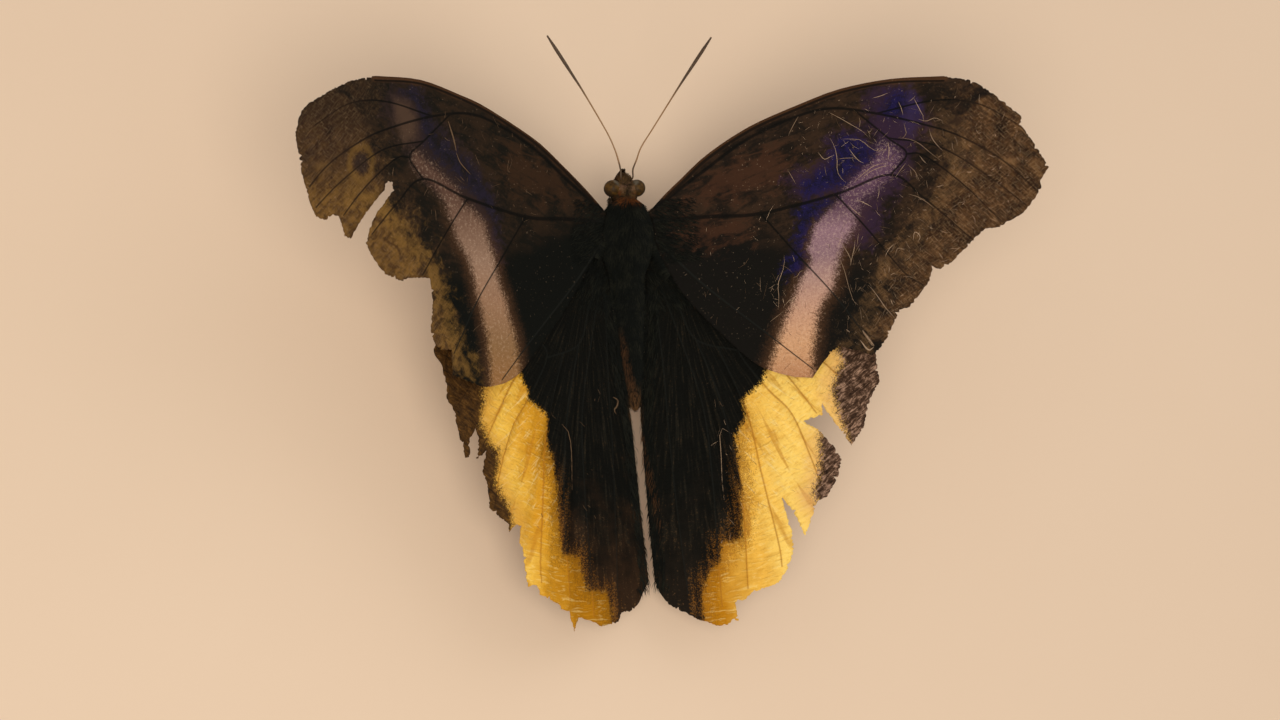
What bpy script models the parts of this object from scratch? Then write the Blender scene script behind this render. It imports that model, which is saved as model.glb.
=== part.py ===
"""Life-size still model of an owl butterfly, standing with its wings spread and raised.

Every function here works in millimetres in the animal's own frame: +Y towards the head,
+X towards its right, +Z up, the floor at z = 0 and the body's midplane at x = 0. The
meshes are made in metres, and at the end the animal is centred over the origin.
"""

import math
from collections import namedtuple

import bmesh
import bpy
from mathutils import Matrix, Vector
from mathutils.geometry import delaunay_2d_cdt

MM = 0.001
GAP = 0.3
FLOOR = 0.0

# Body: centre height, half width and half height at stations along Y, from front to back
Station = namedtuple("Station", "y z half_width half_height")
THORAX = [
    Station(2.4, 14.4, 2.1, 2.3),
    Station(1.2, 14.2, 3.4, 3.4),
    Station(-1.5, 13.8, 4.6, 4.4),
    Station(-5.0, 13.2, 5.1, 4.6),
    Station(-8.5, 12.5, 4.4, 4.1),
    Station(-11.6, 11.9, 3.1, 3.2),
]
ABDOMEN = [
    Station(-11.9, 11.9, 3.0, 3.1),
    Station(-16.0, 11.2, 3.1, 3.2),
    Station(-21.0, 10.4, 2.75, 2.9),
    Station(-28.0, 9.6, 2.05, 2.2),
    Station(-34.0, 9.1, 1.3, 1.4),
    Station(-37.2, 8.9, 0.55, 0.6),
]
HEAD = [
    Station(2.7, 14.5, 1.9, 2.1),
    Station(3.5, 14.6, 2.4, 2.5),
    Station(5.0, 14.7, 2.6, 2.7),
    Station(6.3, 14.5, 2.1, 2.3),
    Station(7.0, 14.3, 1.2, 1.4),
]
THORAX_RINGS = 14
HEAD_RINGS = 9
BODY_SIDES = 20
ABDOMEN_SEGMENTS = 8
SEGMENT_SWELL = 1.02
SEGMENT_GROOVE = 0.93

# Compound eyes: centre and radii on the right side
EYE_CENTRE = Vector((2.4, 4.8, 15.0))
EYE_RADII = Vector((1.7, 1.65, 1.85))
EYE_SIDES = 16
EYE_ROWS = 10

# Wings
MEMBRANE = 0.5
VEIN_HEIGHT = 0.28
VEIN_HALF_WIDTH = 0.55
VEIN_UNDERSIDE = 0.5
VEIN_STEP = 4.2
EDGE_STEP = 2.6
FIELD_STEP = 4.4
FIELD_CLEAR = 1.7
EDGE_CLEAR = 0.5
MERGE_WITHIN = 0.08
SLIVER_AREA = 0.001
WING_SHARP_DEGREES = 30.0
FORE_BASE = Vector((4.5, 0.0, 15.5))
HIND_BASE = Vector((4.0, -5.0, 13.0))

# Curvature of the wings: how far the tip droops, and bends by the square of the distance
FORE_REACH = 77.0
FORE_DROOP = 2.5
FORE_REAR_BEND = 0.003
FORE_FRONT_BEND = 0.004
FORE_FRONT_BEND_FROM = 8.0
HIND_BEND = 0.0016
HIND_BEND_FROM = 20.0

Wing = namedtuple("Wing", "side base raised pitch camber")


def fore_camber(u, v):
    """Droop towards the tip, hind part curled up off the hindwing, front edge curled down."""
    droop = FORE_DROOP * (max(u, 0.0) / FORE_REACH) ** 2
    front = FORE_FRONT_BEND * max(v - FORE_FRONT_BEND_FROM, 0.0) ** 2
    return FORE_REAR_BEND * min(v, 0.0) ** 2 - front - droop


def hind_camber(u, v):
    """A shallow arch across the wing, highest over the middle of the yellow field."""
    return -HIND_BEND * (u - HIND_BEND_FROM) ** 2


def wing_frame(side, base, raised_degrees, pitch_degrees, camber):
    return Wing(side, base, math.radians(raised_degrees), math.radians(pitch_degrees), camber)


WINGS = {
    "forewing_left": wing_frame(-1, FORE_BASE, 29.0, 12.0, fore_camber),
    "forewing_right": wing_frame(1, FORE_BASE, 25.5, 11.5, fore_camber),
    "hindwing_left": wing_frame(-1, HIND_BASE, 20.0, 4.0, hind_camber),
    "hindwing_right": wing_frame(1, HIND_BASE, 21.5, 4.0, hind_camber),
}

# Forewing plan: u outwards and v forwards from the wing's base
FORE_FRONT_RIGHT = [
    (3.3, 3.0), (6.5, 5.4), (10.7, 8.6), (14.8, 11.0), (18.9, 13.0), (23.0, 14.6), (30.9, 16.9),
    (38.7, 18.8), (48.4, 19.5),
]
FORE_FRONT_LEFT = [
    (3.0, 2.1), (7.3, 4.8), (12.9, 8.0), (18.3, 11.0), (23.6, 13.1), (28.7, 14.9), (33.7, 16.5),
    (38.5, 17.5), (48.0, 19.0),
]
FORE_EDGE_RIGHT = [
    (58.5, 18.8), (63.7, 17.4), (66.8, 14.9), (70.2, 11.6), (72.2, 9.3), (71.8, 8.0), (74.3, 3.3),
    (76.1, -0.7), (74.3, -3.0), (74.4, -4.2), (72.3, -7.0), (70.0, -9.0), (65.6, -10.9),
    (62.6, -11.1), (59.2, -13.8), (55.5, -16.7), (53.5, -17.6), (52.2, -17.1), (51.3, -19.5),
    (48.7, -22.4), (47.0, -23.9), (45.1, -24.4), (43.4, -27.1), (42.3, -29.0), (40.5, -31.1),
    (38.9, -32.2), (36.7, -31.2), (33.1, -29.7), (31.5, -30.6), (29.4, -32.5), (27.3, -35.0),
]
FORE_EDGE_LEFT = [
    (58.5, 18.3), (63.8, 16.7), (67.1, 15.0), (72.3, 11.7), (73.7, 10.3), (74.6, 8.5), (74.9, 6.4),
    (73.6, 1.7), (72.0, -3.3), (69.6, -7.8), (67.5, -8.2), (66.0, -7.0), (64.5, -7.2),
    (63.2, -10.6), (61.7, -10.8), (59.6, -7.3), (57.5, -4.6), (54.8, -1.5), (54.7, -0.3),
    (53.3, 0.1), (52.8, -1.3), (56.1, -5.5), (57.8, -8.5), (58.6, -11.2), (55.8, -14.9),
    (54.0, -16.3), (50.4, -17.4), (49.0, -16.6), (43.9, -16.2), (43.0, -20.0), (43.9, -25.1),
    (42.9, -28.0), (41.8, -28.9), (39.2, -28.7), (39.3, -33.2), (36.6, -33.9), (33.0, -34.8),
    (30.8, -34.9),
]
FORE_REAR_RIGHT = [
    (24.0, -34.5), (18.7, -32.4), (15.5, -29.9), (11.6, -25.6), (7.3, -20.4), (4.0, -15.6), (1.4, -9.8),
]
FORE_REAR_LEFT = [
    (27.2, -34.0), (22.8, -31.9), (19.0, -28.4), (14.9, -24.4), (10.7, -19.8), (6.4, -14.5), (2.4, -8.6),
]
FORE_ROOT = (-5.4, -0.2)
ROOT_POINTS = 4

# Hindwing plan, with the front edge that lies under the forewing
HIND_FRONT = [
    (3.5, 2.2), (8.0, 3.4), (18.0, 1.5), (28.0, -4.5), (35.5, -13.0), (40.0, -22.0),
]
HIND_EDGE_RIGHT = [
    (41.4, -26.7), (41.5, -31.7), (39.8, -34.0), (38.8, -36.2), (37.6, -39.9), (34.9, -43.3),
    (32.7, -39.4), (30.9, -36.4), (30.2, -34.6), (30.1, -36.9), (26.4, -37.7), (28.9, -39.4),
    (31.4, -42.7), (32.8, -45.5), (31.7, -48.9), (29.2, -52.4), (27.2, -53.3), (26.0, -56.1),
    (24.3, -59.5), (22.9, -55.4), (20.8, -51.6), (21.3, -54.9), (22.0, -58.0), (22.0, -61.7),
    (20.5, -65.0), (18.5, -67.6), (13.2, -68.9), (11.9, -70.0), (9.9, -70.5), (10.4, -74.1),
    (9.4, -73.6), (8.1, -74.4), (6.2, -74.5), (2.4, -72.8), (0.3, -71.4), (-1.4, -70.5),
    (-2.8, -69.4), (-4.2, -67.0),
]
HIND_EDGE_LEFT = [
    (38.6, -25.5), (37.5, -31.0), (36.2, -34.9), (35.5, -38.8), (34.5, -39.0), (34.3, -41.8),
    (33.4, -41.8), (33.0, -38.5), (31.6, -36.3), (31.4, -38.2), (32.4, -42.3), (30.0, -40.5),
    (31.0, -44.0), (29.4, -48.9), (29.6, -50.6), (27.6, -52.9), (25.9, -53.7), (25.6, -55.3),
    (24.2, -54.0), (23.1, -54.3), (23.6, -57.4), (22.6, -58.4), (21.8, -65.3), (20.3, -65.2),
    (19.8, -66.8), (15.3, -68.5), (14.6, -69.6), (12.8, -70.1), (11.5, -73.7), (10.4, -71.3),
    (8.0, -71.9), (5.6, -73.0), (1.2, -72.4), (0.2, -70.5), (-1.8, -70.4), (-3.3, -69.7),
    (-4.4, -68.6), (-5.3, -67.1),
]
HIND_ROOT = (-5.4, -0.3)

# The inner edges: beside the abdomen, and along the slit behind it, whose middle drifts
# across by the distance and its square while it narrows
BESIDE_ABDOMEN = 0.45
INNER_POINTS = 22
INNER_ENDS = (-69.5, -12.5)
SLIT_MIDDLE = (0.17, 0.0079, 0.00064)
SLIT_HALF = (0.95, -0.0165)

# Main veins in the same plans
MEDIAN_FORK = (21.0, -2.9)
CUBITUS_FORK = (35.6, -1.0)
CELL_TIP = (49.8, 5.0)
CELL_UPPER = (46.7, 8.4)
CELL_LOWER = (46.3, 1.4)
COSTA_INSET = 1.2
FORE_VEINS = {
    "radius": [(1.8, -0.6), (10.0, 5.8), (20.0, 11.4), (30.0, 14.6), (37.0, 15.3), (45.0, 13.3),
               (53.0, 10.4), (60.0, 7.2), (67.4, 1.8), (73.0, -4.5)],
    "radius_upper": [(45.0, 13.3), (56.0, 14.4), (64.0, 12.9), (71.0, 8.2)],
    "cell_cross": [(41.0, 14.4), CELL_UPPER, CELL_TIP, CELL_LOWER],
    "media_1": [CELL_UPPER, (56.0, 5.6), (64.5, -1.0), (71.0, -7.4)],
    "media_2": [CELL_TIP, (53.0, 4.3), (59.5, -1.8), (66.0, -9.8)],
    "media": [(1.8, -2.1), (11.0, -2.3), MEDIAN_FORK, CUBITUS_FORK, CELL_LOWER, (52.0, -3.6),
              (60.0, -12.4)],
    "cubitus_1": [CUBITUS_FORK, (41.0, -8.6), (46.5, -17.0), (50.0, -20.2)],
    "cubitus_2": [MEDIAN_FORK, (27.0, -11.5), (33.0, -19.8), (38.8, -29.4)],
    "anal": [(1.6, -4.2), (8.0, -14.4), (19.2, -25.3), (27.6, -33.4)],
}
HIND_CELL_LOWER = (15.4, -23.0)
HIND_CELL_UPPER = (16.2, -15.6)
HIND_MEDIA_FORK = (17.2, -19.4)
HIND_CUBITUS_FORK = (7.6, -20.0)
HIND_VEINS = {
    "subcosta": [(3.0, -0.6), (11.0, 0.6), (22.0, -3.8), (32.0, -13.0), (38.5, -25.0)],
    "radius": [(3.0, -2.0), (9.5, -7.6), HIND_CELL_UPPER, (27.0, -22.5), (37.0, -33.5)],
    "media_1": [HIND_CELL_UPPER, HIND_MEDIA_FORK, (24.0, -28.5), (30.5, -39.0), (33.2, -43.0)],
    "media_3": [HIND_MEDIA_FORK, HIND_CELL_LOWER, (20.0, -30.6), (24.2, -36.0), (26.8, -44.0),
                (28.6, -51.0)],
    "cubitus": [(2.6, -4.0), (4.6, -12.5), HIND_CUBITUS_FORK, HIND_CELL_LOWER],
    "cubitus_1": [(11.5, -21.8), (15.8, -35.0), (17.4, -47.0), (19.2, -60.0), (19.4, -64.6)],
    "cubitus_2": [HIND_CUBITUS_FORK, (11.2, -33.0), (13.2, -50.0), (12.6, -68.0)],
    "anal_2": [(2.4, -5.8), (4.2, -18.0), (7.6, -33.0), (8.0, -48.0), (7.6, -60.0), (7.4, -71.0)],
    "anal_3": [(1.4, -12.0), (0.8, -25.0), (0.6, -40.0), (0.8, -55.0), (1.2, -68.0)],
}

# Tubes: where each leaves the body, the length of its rings, its (x, y, z) path with x
# measured away from the midplane, and the radii along it
Limb = namedtuple("Limb", "seat_y seat_angle step joints radii")
LIMB_SIDES = 8
LIMB_SEAT_REACH = 0.5
ANTENNA_RADII = [0.3, 0.27, 0.27, 0.27, 0.3, 0.4, 0.47, 0.3]
ANTENNAE = {
    "antenna_left": Limb(
        6.1, 154.0, 2.6,
        [(1.3, 7.9, 17.5), (1.9, 9.8, 18.3), (2.7, 11.9, 19.0), (4.2, 14.9, 19.8), (8.3, 21.5, 21.6),
         (10.9, 25.4, 22.6), (15.6, 32.4, 24.3)],
        ANTENNA_RADII,
    ),
    "antenna_right": Limb(
        6.1, 154.0, 2.6,
        [(1.2, 7.9, 17.5), (1.8, 9.5, 18.3), (2.8, 11.9, 19.0), (5.2, 15.3, 19.8), (10.2, 22.4, 21.6),
         (13.2, 26.5, 22.6), (17.3, 32.1, 24.3)],
        ANTENNA_RADII,
    ),
}
PALP = Limb(
    5.9, 30.0, 0.5,
    [(1.0, 6.9, 11.4), (0.75, 7.9, 12.5), (0.62, 8.25, 14.0), (0.5, 8.05, 15.4)],
    [0.38, 0.4, 0.42, 0.42, 0.38, 0.24],
)
LEGS = {
    "foreleg": Limb(
        -0.4, 24.0, 1.2,
        [(1.4, 1.6, 9.5), (1.3, 3.2, 10.1), (1.2, 4.2, 9.3), (1.1, 3.3, 8.0), (1.0, 1.0, 7.5)],
        [0.5, 0.45, 0.4, 0.4, 0.36, 0.3],
    ),
    "midleg": Limb(
        -3.0, 24.0, 1.3,
        [(3.6, -1.2, 8.6), (6.0, 0.8, 10.6), (8.6, 2.4, 11.6), (10.4, 3.2, 8.4), (13.0, 4.0, 2.0),
         (14.2, 4.9, 0.3), (17.2, 7.6, 0.25)],
        [0.75, 0.75, 0.6, 0.55, 0.42, 0.36, 0.36, 0.34],
    ),
    "hindleg": Limb(
        -8.2, 24.0, 1.3,
        [(3.4, -9.8, 7.6), (6.0, -12.6, 8.4), (8.8, -15.6, 9.4), (10.6, -18.2, 6.6), (12.8, -21.4, 1.8),
         (13.4, -23.0, 0.3), (15.0, -28.6, 0.25)],
        [0.75, 0.75, 0.6, 0.55, 0.42, 0.36, 0.36, 0.34],
    ),
}
PROBOSCIS_SEAT_Y = 5.4
PROBOSCIS_SEAT_REACH = 0.3
PROBOSCIS_CENTRE = Vector((0.0, 6.4, 9.9))
PROBOSCIS_START_DEGREES = 95.0
PROBOSCIS_OUTER = 1.45
PROBOSCIS_INNER = 0.35
PROBOSCIS_RADIUS = 0.25
PROBOSCIS_TURNS = 1.5
PROBOSCIS_RINGS_PER_TURN = 14

# Colour and roughness of each material
COLOURS = {
    "fur": ((0.016, 0.013, 0.012), 0.85),
    "chitin": ((0.05, 0.032, 0.022), 0.45),
    "eye": ((0.09, 0.06, 0.05), 0.2),
    "wing": ((0.06, 0.035, 0.02), 0.75),
}


def clear_scene():
    for thing in list(bpy.data.objects):
        bpy.data.objects.remove(thing, do_unlink=True)


def material(name):
    found = bpy.data.materials.get(name)
    if found:
        return found
    colour, roughness = COLOURS[name]
    made = bpy.data.materials.new(name)
    made.use_nodes = True
    shader = made.node_tree.nodes["Principled BSDF"]
    shader.inputs["Base Color"].default_value = (*colour, 1.0)
    shader.inputs["Roughness"].default_value = roughness
    shader.inputs["Metallic"].default_value = 0.0
    return made


def make_object(name, points, faces, material_name, sharp_degrees=40.0):
    """One closed mesh object from points in millimetres, its faces turned outwards."""
    mesh = bpy.data.meshes.new(name)
    mesh.from_pydata([tuple(MM * value for value in point) for point in points], [], faces)
    form = bmesh.new()
    form.from_mesh(mesh)
    bmesh.ops.triangulate(form, faces=form.faces[:])
    bmesh.ops.recalc_face_normals(form, faces=form.faces[:])
    form.to_mesh(mesh)
    form.free()
    mesh.shade_smooth()
    mesh.set_sharp_from_angle(angle=math.radians(sharp_degrees))
    made = bpy.data.objects.new(name, mesh)
    made.data.materials.append(material(material_name))
    bpy.context.scene.collection.objects.link(made)
    return made


def catmull_rom(before, start, end, after, t):
    return [
        0.5 * (2 * b + (c - a) * t + (2 * a - 5 * b + 4 * c - d) * t * t + (3 * b - a - 3 * c + d) * t ** 3)
        for a, b, c, d in zip(before, start, end, after)
    ]


def smooth_path(points, step):
    """Points about one step apart on a smooth curve through the given points."""
    path = []
    for index in range(len(points) - 1):
        start, end = points[index], points[index + 1]
        before = points[index - 1] if index else [2 * a - b for a, b in zip(start, end)]
        last = index + 2 >= len(points)
        after = [2 * b - a for a, b in zip(start, end)] if last else points[index + 2]
        count = max(1, round(math.dist(start, end) / step))
        path += [tuple(catmull_rom(before, start, end, after, k / count)) for k in range(count)]
    return path + [tuple(points[-1])]


def straight_path(points, step):
    """Points no more than one step apart on straight runs, every given point kept."""
    path = []
    for start, end in zip(points, points[1:]):
        count = max(1, math.ceil(math.dist(start, end) / step))
        path += [tuple(a + (b - a) * k / count for a, b in zip(start, end)) for k in range(count)]
    return path + [tuple(points[-1])]


def section(stations, y):
    """The body's centre height, half width and half height at y, smooth between stations."""
    for index in range(len(stations) - 1):
        front, rear = stations[index], stations[index + 1]
        if y >= rear.y or index == len(stations) - 2:
            before = stations[max(index - 1, 0)]
            after = stations[min(index + 2, len(stations) - 1)]
            t = min(max((front.y - y) / (front.y - rear.y), 0.0), 1.0)
            return catmull_rom(before[1:], front[1:], rear[1:], after[1:], t)


def body_point(stations, y, angle, swell=1.0):
    """A point on the body, its angle measured from the underside towards the right."""
    z, half_width, half_height = section(stations, y)
    return Vector((
        swell * half_width * math.sin(angle),
        y,
        z - swell * half_height * math.cos(angle),
    ))


def body_half_width_at(stations, y, z):
    """How far the body reaches sideways at one height."""
    centre, half_width, half_height = section(stations, y)
    return half_width * math.sqrt(max(1.0 - ((z - centre) / half_height) ** 2, 0.05))


def loft(rings):
    """Faces over equal rings of points, with both ends closed by one centre point each."""
    sides = len(rings[0])
    points = [point for ring in rings for point in ring]
    faces = []
    for ring in range(len(rings) - 1):
        for side in range(sides):
            after = (side + 1) % sides
            faces.append((
                ring * sides + side, ring * sides + after,
                (ring + 1) * sides + after, (ring + 1) * sides + side,
            ))
    for first, ring in ((0, rings[0]), ((len(rings) - 1) * sides, rings[-1])):
        points.append(sum((Vector(point) for point in ring), Vector()) / sides)
        centre = len(points) - 1
        faces += [(first + side, first + (side + 1) % sides, centre) for side in range(sides)]
    return points, faces


def body_rings(stations, heights_along, swells):
    return [
        [body_point(stations, y, 2 * math.pi * side / BODY_SIDES, swell) for side in range(BODY_SIDES)]
        for y, swell in zip(heights_along, swells)
    ]


def even_steps(start, end, count):
    return [start + (end - start) * index / (count - 1) for index in range(count)]


def make_thorax():
    along = even_steps(THORAX[0].y, THORAX[-1].y, THORAX_RINGS)
    points, faces = loft(body_rings(THORAX, along, [1.0] * THORAX_RINGS))
    return make_object("thorax", points, faces, "fur")


def make_abdomen():
    """Overlapping segments: each swells behind its groove and tucks in before the next."""
    start, end = ABDOMEN[0].y, ABDOMEN[-1].y
    along, swells = [start], [1.0]
    for segment in range(ABDOMEN_SEGMENTS):
        length = (end - start) / ABDOMEN_SEGMENTS
        for part, swell in ((0.3, 1.0), (0.85, SEGMENT_SWELL), (1.0, SEGMENT_GROOVE)):
            along.append(start + (segment + part) * length)
            swells.append(swell)
    points, faces = loft(body_rings(ABDOMEN, along, swells))
    return make_object("abdomen", points, faces, "fur")


def ellipsoid(centre, radii):
    """Rings of points round the X axis with a pole at each end."""
    sides, rows = EYE_SIDES, EYE_ROWS
    points, faces = [], []
    for row in range(1, rows):
        tilt = math.pi * row / rows
        for side in range(sides):
            turn = 2 * math.pi * side / sides
            points.append(centre + Vector((
                radii.x * math.cos(tilt),
                radii.y * math.sin(tilt) * math.cos(turn),
                radii.z * math.sin(tilt) * math.sin(turn),
            )))
    for row in range(rows - 2):
        for side in range(sides):
            after = (side + 1) % sides
            faces.append((
                row * sides + side, row * sides + after,
                (row + 1) * sides + after, (row + 1) * sides + side,
            ))
    for pole, first in ((radii.x, 0), (-radii.x, (rows - 2) * sides)):
        points.append(centre + Vector((pole, 0.0, 0.0)))
        faces += [(first + side, first + (side + 1) % sides, len(points) - 1) for side in range(sides)]
    return points, faces


def keep_largest_shell(thing):
    """Drop every closed surface of the mesh but the largest."""
    form = bmesh.new()
    form.from_mesh(thing.data)
    unseen = set(form.faces)
    shells = []
    while unseen:
        shell, edge_of_search = set(), [unseen.pop()]
        while edge_of_search:
            face = edge_of_search.pop()
            shell.add(face)
            for edge in face.edges:
                for other in edge.link_faces:
                    if other in unseen:
                        unseen.discard(other)
                        edge_of_search.append(other)
        shells.append(shell)
    shells.sort(key=len)
    spare = [face for shell in shells[:-1] for face in shell]
    if spare:
        bmesh.ops.delete(form, geom=spare, context="FACES")
    form.to_mesh(thing.data)
    form.free()


def make_head_and_eyes():
    """The head with a socket round each eye, and the two compound eyes seated in them."""
    along = even_steps(HEAD[0].y, HEAD[-1].y, HEAD_RINGS)
    points, faces = loft(body_rings(HEAD, along, [1.0] * HEAD_RINGS))
    head = make_object("head", points, faces, "fur")
    for name, side in (("eye_left", -1), ("eye_right", 1)):
        centre = Vector((side * EYE_CENTRE.x, EYE_CENTRE.y, EYE_CENTRE.z))
        make_object(name, *ellipsoid(centre, EYE_RADII), "eye")
        socket_radii = EYE_RADII + Vector((GAP, GAP, GAP))
        socket = make_object(name + "_socket", *ellipsoid(centre, socket_radii), "fur")
        cut = head.modifiers.new("socket", "BOOLEAN")
        cut.operation = "DIFFERENCE"
        cut.solver = "EXACT"
        cut.object = socket
        evaluated = head.evaluated_get(bpy.context.evaluated_depsgraph_get())
        carved = bpy.data.meshes.new_from_object(evaluated)
        head.modifiers.clear()
        head.data = carved
        bpy.data.objects.remove(socket, do_unlink=True)
    keep_largest_shell(head)
    return head


def tube(path, radii, sides, floor=None):
    """A closed tube along a path, its radius read evenly from the list, cut flat at a floor."""
    path = [Vector(point) for point in path]
    rings = []
    across = Vector((0.0, 0.0, 1.0))
    for index, point in enumerate(path):
        ahead = path[min(index + 1, len(path) - 1)] - path[max(index - 1, 0)]
        ahead.normalize()
        if abs(ahead.dot(across)) > 0.95:
            across = Vector((1.0, 0.0, 0.0))
        across = (across - ahead * across.dot(ahead)).normalized()
        other = ahead.cross(across)
        place = index / (len(path) - 1) * (len(radii) - 1)
        low = min(int(place), len(radii) - 2)
        radius = radii[low] + (radii[low + 1] - radii[low]) * (place - low)
        ring = []
        for side in range(sides):
            turn = 2 * math.pi * (side + 0.5) / sides
            corner = point + radius * (math.cos(turn) * across + math.sin(turn) * other)
            if floor is not None:
                corner.z = max(corner.z, floor)
            ring.append(corner)
        rings.append(ring)
    return loft(rings)


def seat(stations, y, degrees, reach):
    """Points straight out from a body's skin: one a gap clear of it, one further out."""
    angle = math.radians(degrees)
    on_skin = body_point(stations, y, angle)
    along = body_point(stations, y + 0.05, angle) - body_point(stations, y - 0.05, angle)
    around = body_point(stations, y, angle + 0.02) - body_point(stations, y, angle - 0.02)
    outwards = along.cross(around).normalized()
    if outwards.dot(on_skin - Vector((0.0, y, section(stations, y)[0]))) < 0:
        outwards.negate()
    return tuple(on_skin + outwards * GAP), tuple(on_skin + outwards * (GAP + reach))


def make_limb(name, limb, stations, material_name, floor=None):
    """A limb that grows straight out of the body before it bends."""
    start = seat(stations, limb.seat_y, limb.seat_angle, LIMB_SEAT_REACH)
    side = -1 if name.endswith("left") else 1
    path = [(side * x, y, z) for x, y, z in smooth_path([*start, *limb.joints], limb.step)]
    return make_object(name, *tube(path, limb.radii, LIMB_SIDES, floor), material_name)


def make_pair(stem, limb, stations, material_name, floor=None):
    for side in ("left", "right"):
        make_limb(stem + "_" + side, limb, stations, material_name, floor)


def make_proboscis():
    """The coiled tongue under the front of the head, turning inwards from its root."""
    path = list(seat(HEAD, PROBOSCIS_SEAT_Y, 0.0, PROBOSCIS_SEAT_REACH))
    count = int(PROBOSCIS_TURNS * PROBOSCIS_RINGS_PER_TURN)
    for index in range(count + 1):
        share = index / count
        turn = math.radians(PROBOSCIS_START_DEGREES) - 2 * math.pi * PROBOSCIS_TURNS * share
        reach = PROBOSCIS_OUTER + (PROBOSCIS_INNER - PROBOSCIS_OUTER) * share
        path.append(PROBOSCIS_CENTRE + Vector((0.0, reach * math.cos(turn), reach * math.sin(turn))))
    points, faces = tube(path, [PROBOSCIS_RADIUS, PROBOSCIS_RADIUS], LIMB_SIDES)
    return make_object("proboscis", points, faces, "chitin")


def wing_point(wing, u, v, lift=0.0):
    """A point of the wing's surface, lifted off its middle layer."""
    w = wing.camber(u, v) + lift
    y = v * math.cos(wing.pitch) - w * math.sin(wing.pitch)
    rise = v * math.sin(wing.pitch) + w * math.cos(wing.pitch)
    x = u * math.cos(wing.raised) - rise * math.sin(wing.raised)
    z = u * math.sin(wing.raised) + rise * math.cos(wing.raised)
    return Vector((wing.side * (wing.base.x + x), wing.base.y + y, wing.base.z + z))


def wing_place(wing, x_at, y):
    """The plan position at one y whose x, away from the midplane, is what x_at(point) asks."""
    rounds, part_of_step = 30, 0.8
    u, v = 0.0, y - wing.base.y
    for _ in range(rounds):
        point = wing_point(wing, u, v)
        v += part_of_step * (y - point.y)
        u += part_of_step * (x_at(point) - wing.side * point.x)
    return u, v


def tail_gap(y):
    """Middle and half width of the slit between the hindwings behind the abdomen."""
    behind = max(ABDOMEN[-1].y - y, 0.0)
    middle = SLIT_MIDDLE[0] + SLIT_MIDDLE[1] * behind + SLIT_MIDDLE[2] * behind ** 2
    return middle, SLIT_HALF[0] + SLIT_HALF[1] * behind


def hind_inner_x(wing):
    """The inner edge of a hindwing: along the slit, past the abdomen, and up to the thorax."""
    def x_at(point):
        if point.y < ABDOMEN[-1].y:
            middle, half = tail_gap(point.y)
            return wing.side * middle + half
        beside = section(ABDOMEN, point.y)[1] + BESIDE_ABDOMEN
        middle, half = tail_gap(ABDOMEN[-1].y)
        return max(beside, wing.side * middle + half)
    return x_at


def root_x(point):
    """A gap clear of the thorax at the wing's own height."""
    return body_half_width_at(THORAX, point.y, point.z) + GAP


def root_edge(wing, ends):
    """The wing's short edge along the thorax, from its rear end to its front end."""
    steps = even_steps(ends[0], ends[1], ROOT_POINTS)
    return [wing_place(wing, root_x, wing.base.y + y) for y in steps]


def fore_front(wing):
    return FORE_FRONT_RIGHT if wing.side > 0 else FORE_FRONT_LEFT


def fore_outline(wing):
    right = wing.side > 0
    edge = FORE_EDGE_RIGHT if right else FORE_EDGE_LEFT
    rear = FORE_REAR_RIGHT if right else FORE_REAR_LEFT
    root = root_edge(wing, FORE_ROOT)
    front = smooth_path([root[-1], *fore_front(wing), edge[0]], EDGE_STEP)
    ragged = straight_path(edge, EDGE_STEP)
    inner = smooth_path([edge[-1], *rear, root[0]], EDGE_STEP)
    return front[:-1] + ragged[:-1] + inner[:-1] + root[:-1]


def hind_outline(wing):
    edge = HIND_EDGE_RIGHT if wing.side > 0 else HIND_EDGE_LEFT
    root = root_edge(wing, HIND_ROOT)
    inner_y = even_steps(INNER_ENDS[0], INNER_ENDS[1], INNER_POINTS)
    inner = [wing_place(wing, hind_inner_x(wing), y) for y in inner_y]
    front = smooth_path([root[-1], *HIND_FRONT, edge[0]], EDGE_STEP)
    ragged = straight_path(edge, EDGE_STEP)
    return front[:-1] + ragged + inner + root[:-1]


def distance_to_segment(point, start, end):
    px, py = point[0] - start[0], point[1] - start[1]
    dx, dy = end[0] - start[0], end[1] - start[1]
    share = (px * dx + py * dy) / max(dx * dx + dy * dy, 1e-9)
    share = min(max(share, 0.0), 1.0)
    return math.hypot(px - share * dx, py - share * dy)


def distance_to_path(point, path):
    return min(distance_to_segment(point, start, end) for start, end in zip(path, path[1:]))


def inside(point, outline):
    hit = False
    for (ax, ay), (bx, by) in zip(outline, outline[1:] + outline[:1]):
        if (ay > point[1]) != (by > point[1]) and point[0] < ax + (point[1] - ay) / (by - ay) * (bx - ax):
            hit = not hit
    return hit


def clipped(path, outline, clear):
    """The first unbroken run of a path that keeps clear inside the outline."""
    closed = outline + outline[:1]
    run = []
    for point in path:
        if inside(point, outline) and distance_to_path(point, closed) > clear:
            run.append(point)
        elif run:
            break
    return run


def beside(path, offset):
    """The path moved sideways in its plane."""
    moved = []
    for index, (u, v) in enumerate(path):
        before, after = path[max(index - 1, 0)], path[min(index + 1, len(path) - 1)]
        du, dv = after[0] - before[0], after[1] - before[1]
        length = math.hypot(du, dv)
        moved.append((u - offset * dv / length, v + offset * du / length))
    return moved


def height_at(path, u):
    """The v of a path that runs outwards, read at one u."""
    for start, end in zip(path, path[1:]):
        if u <= end[0]:
            break
    share = (u - start[0]) / (end[0] - start[0])
    return start[1] + (end[1] - start[1]) * min(max(share, 0.0), 1.0)


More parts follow.
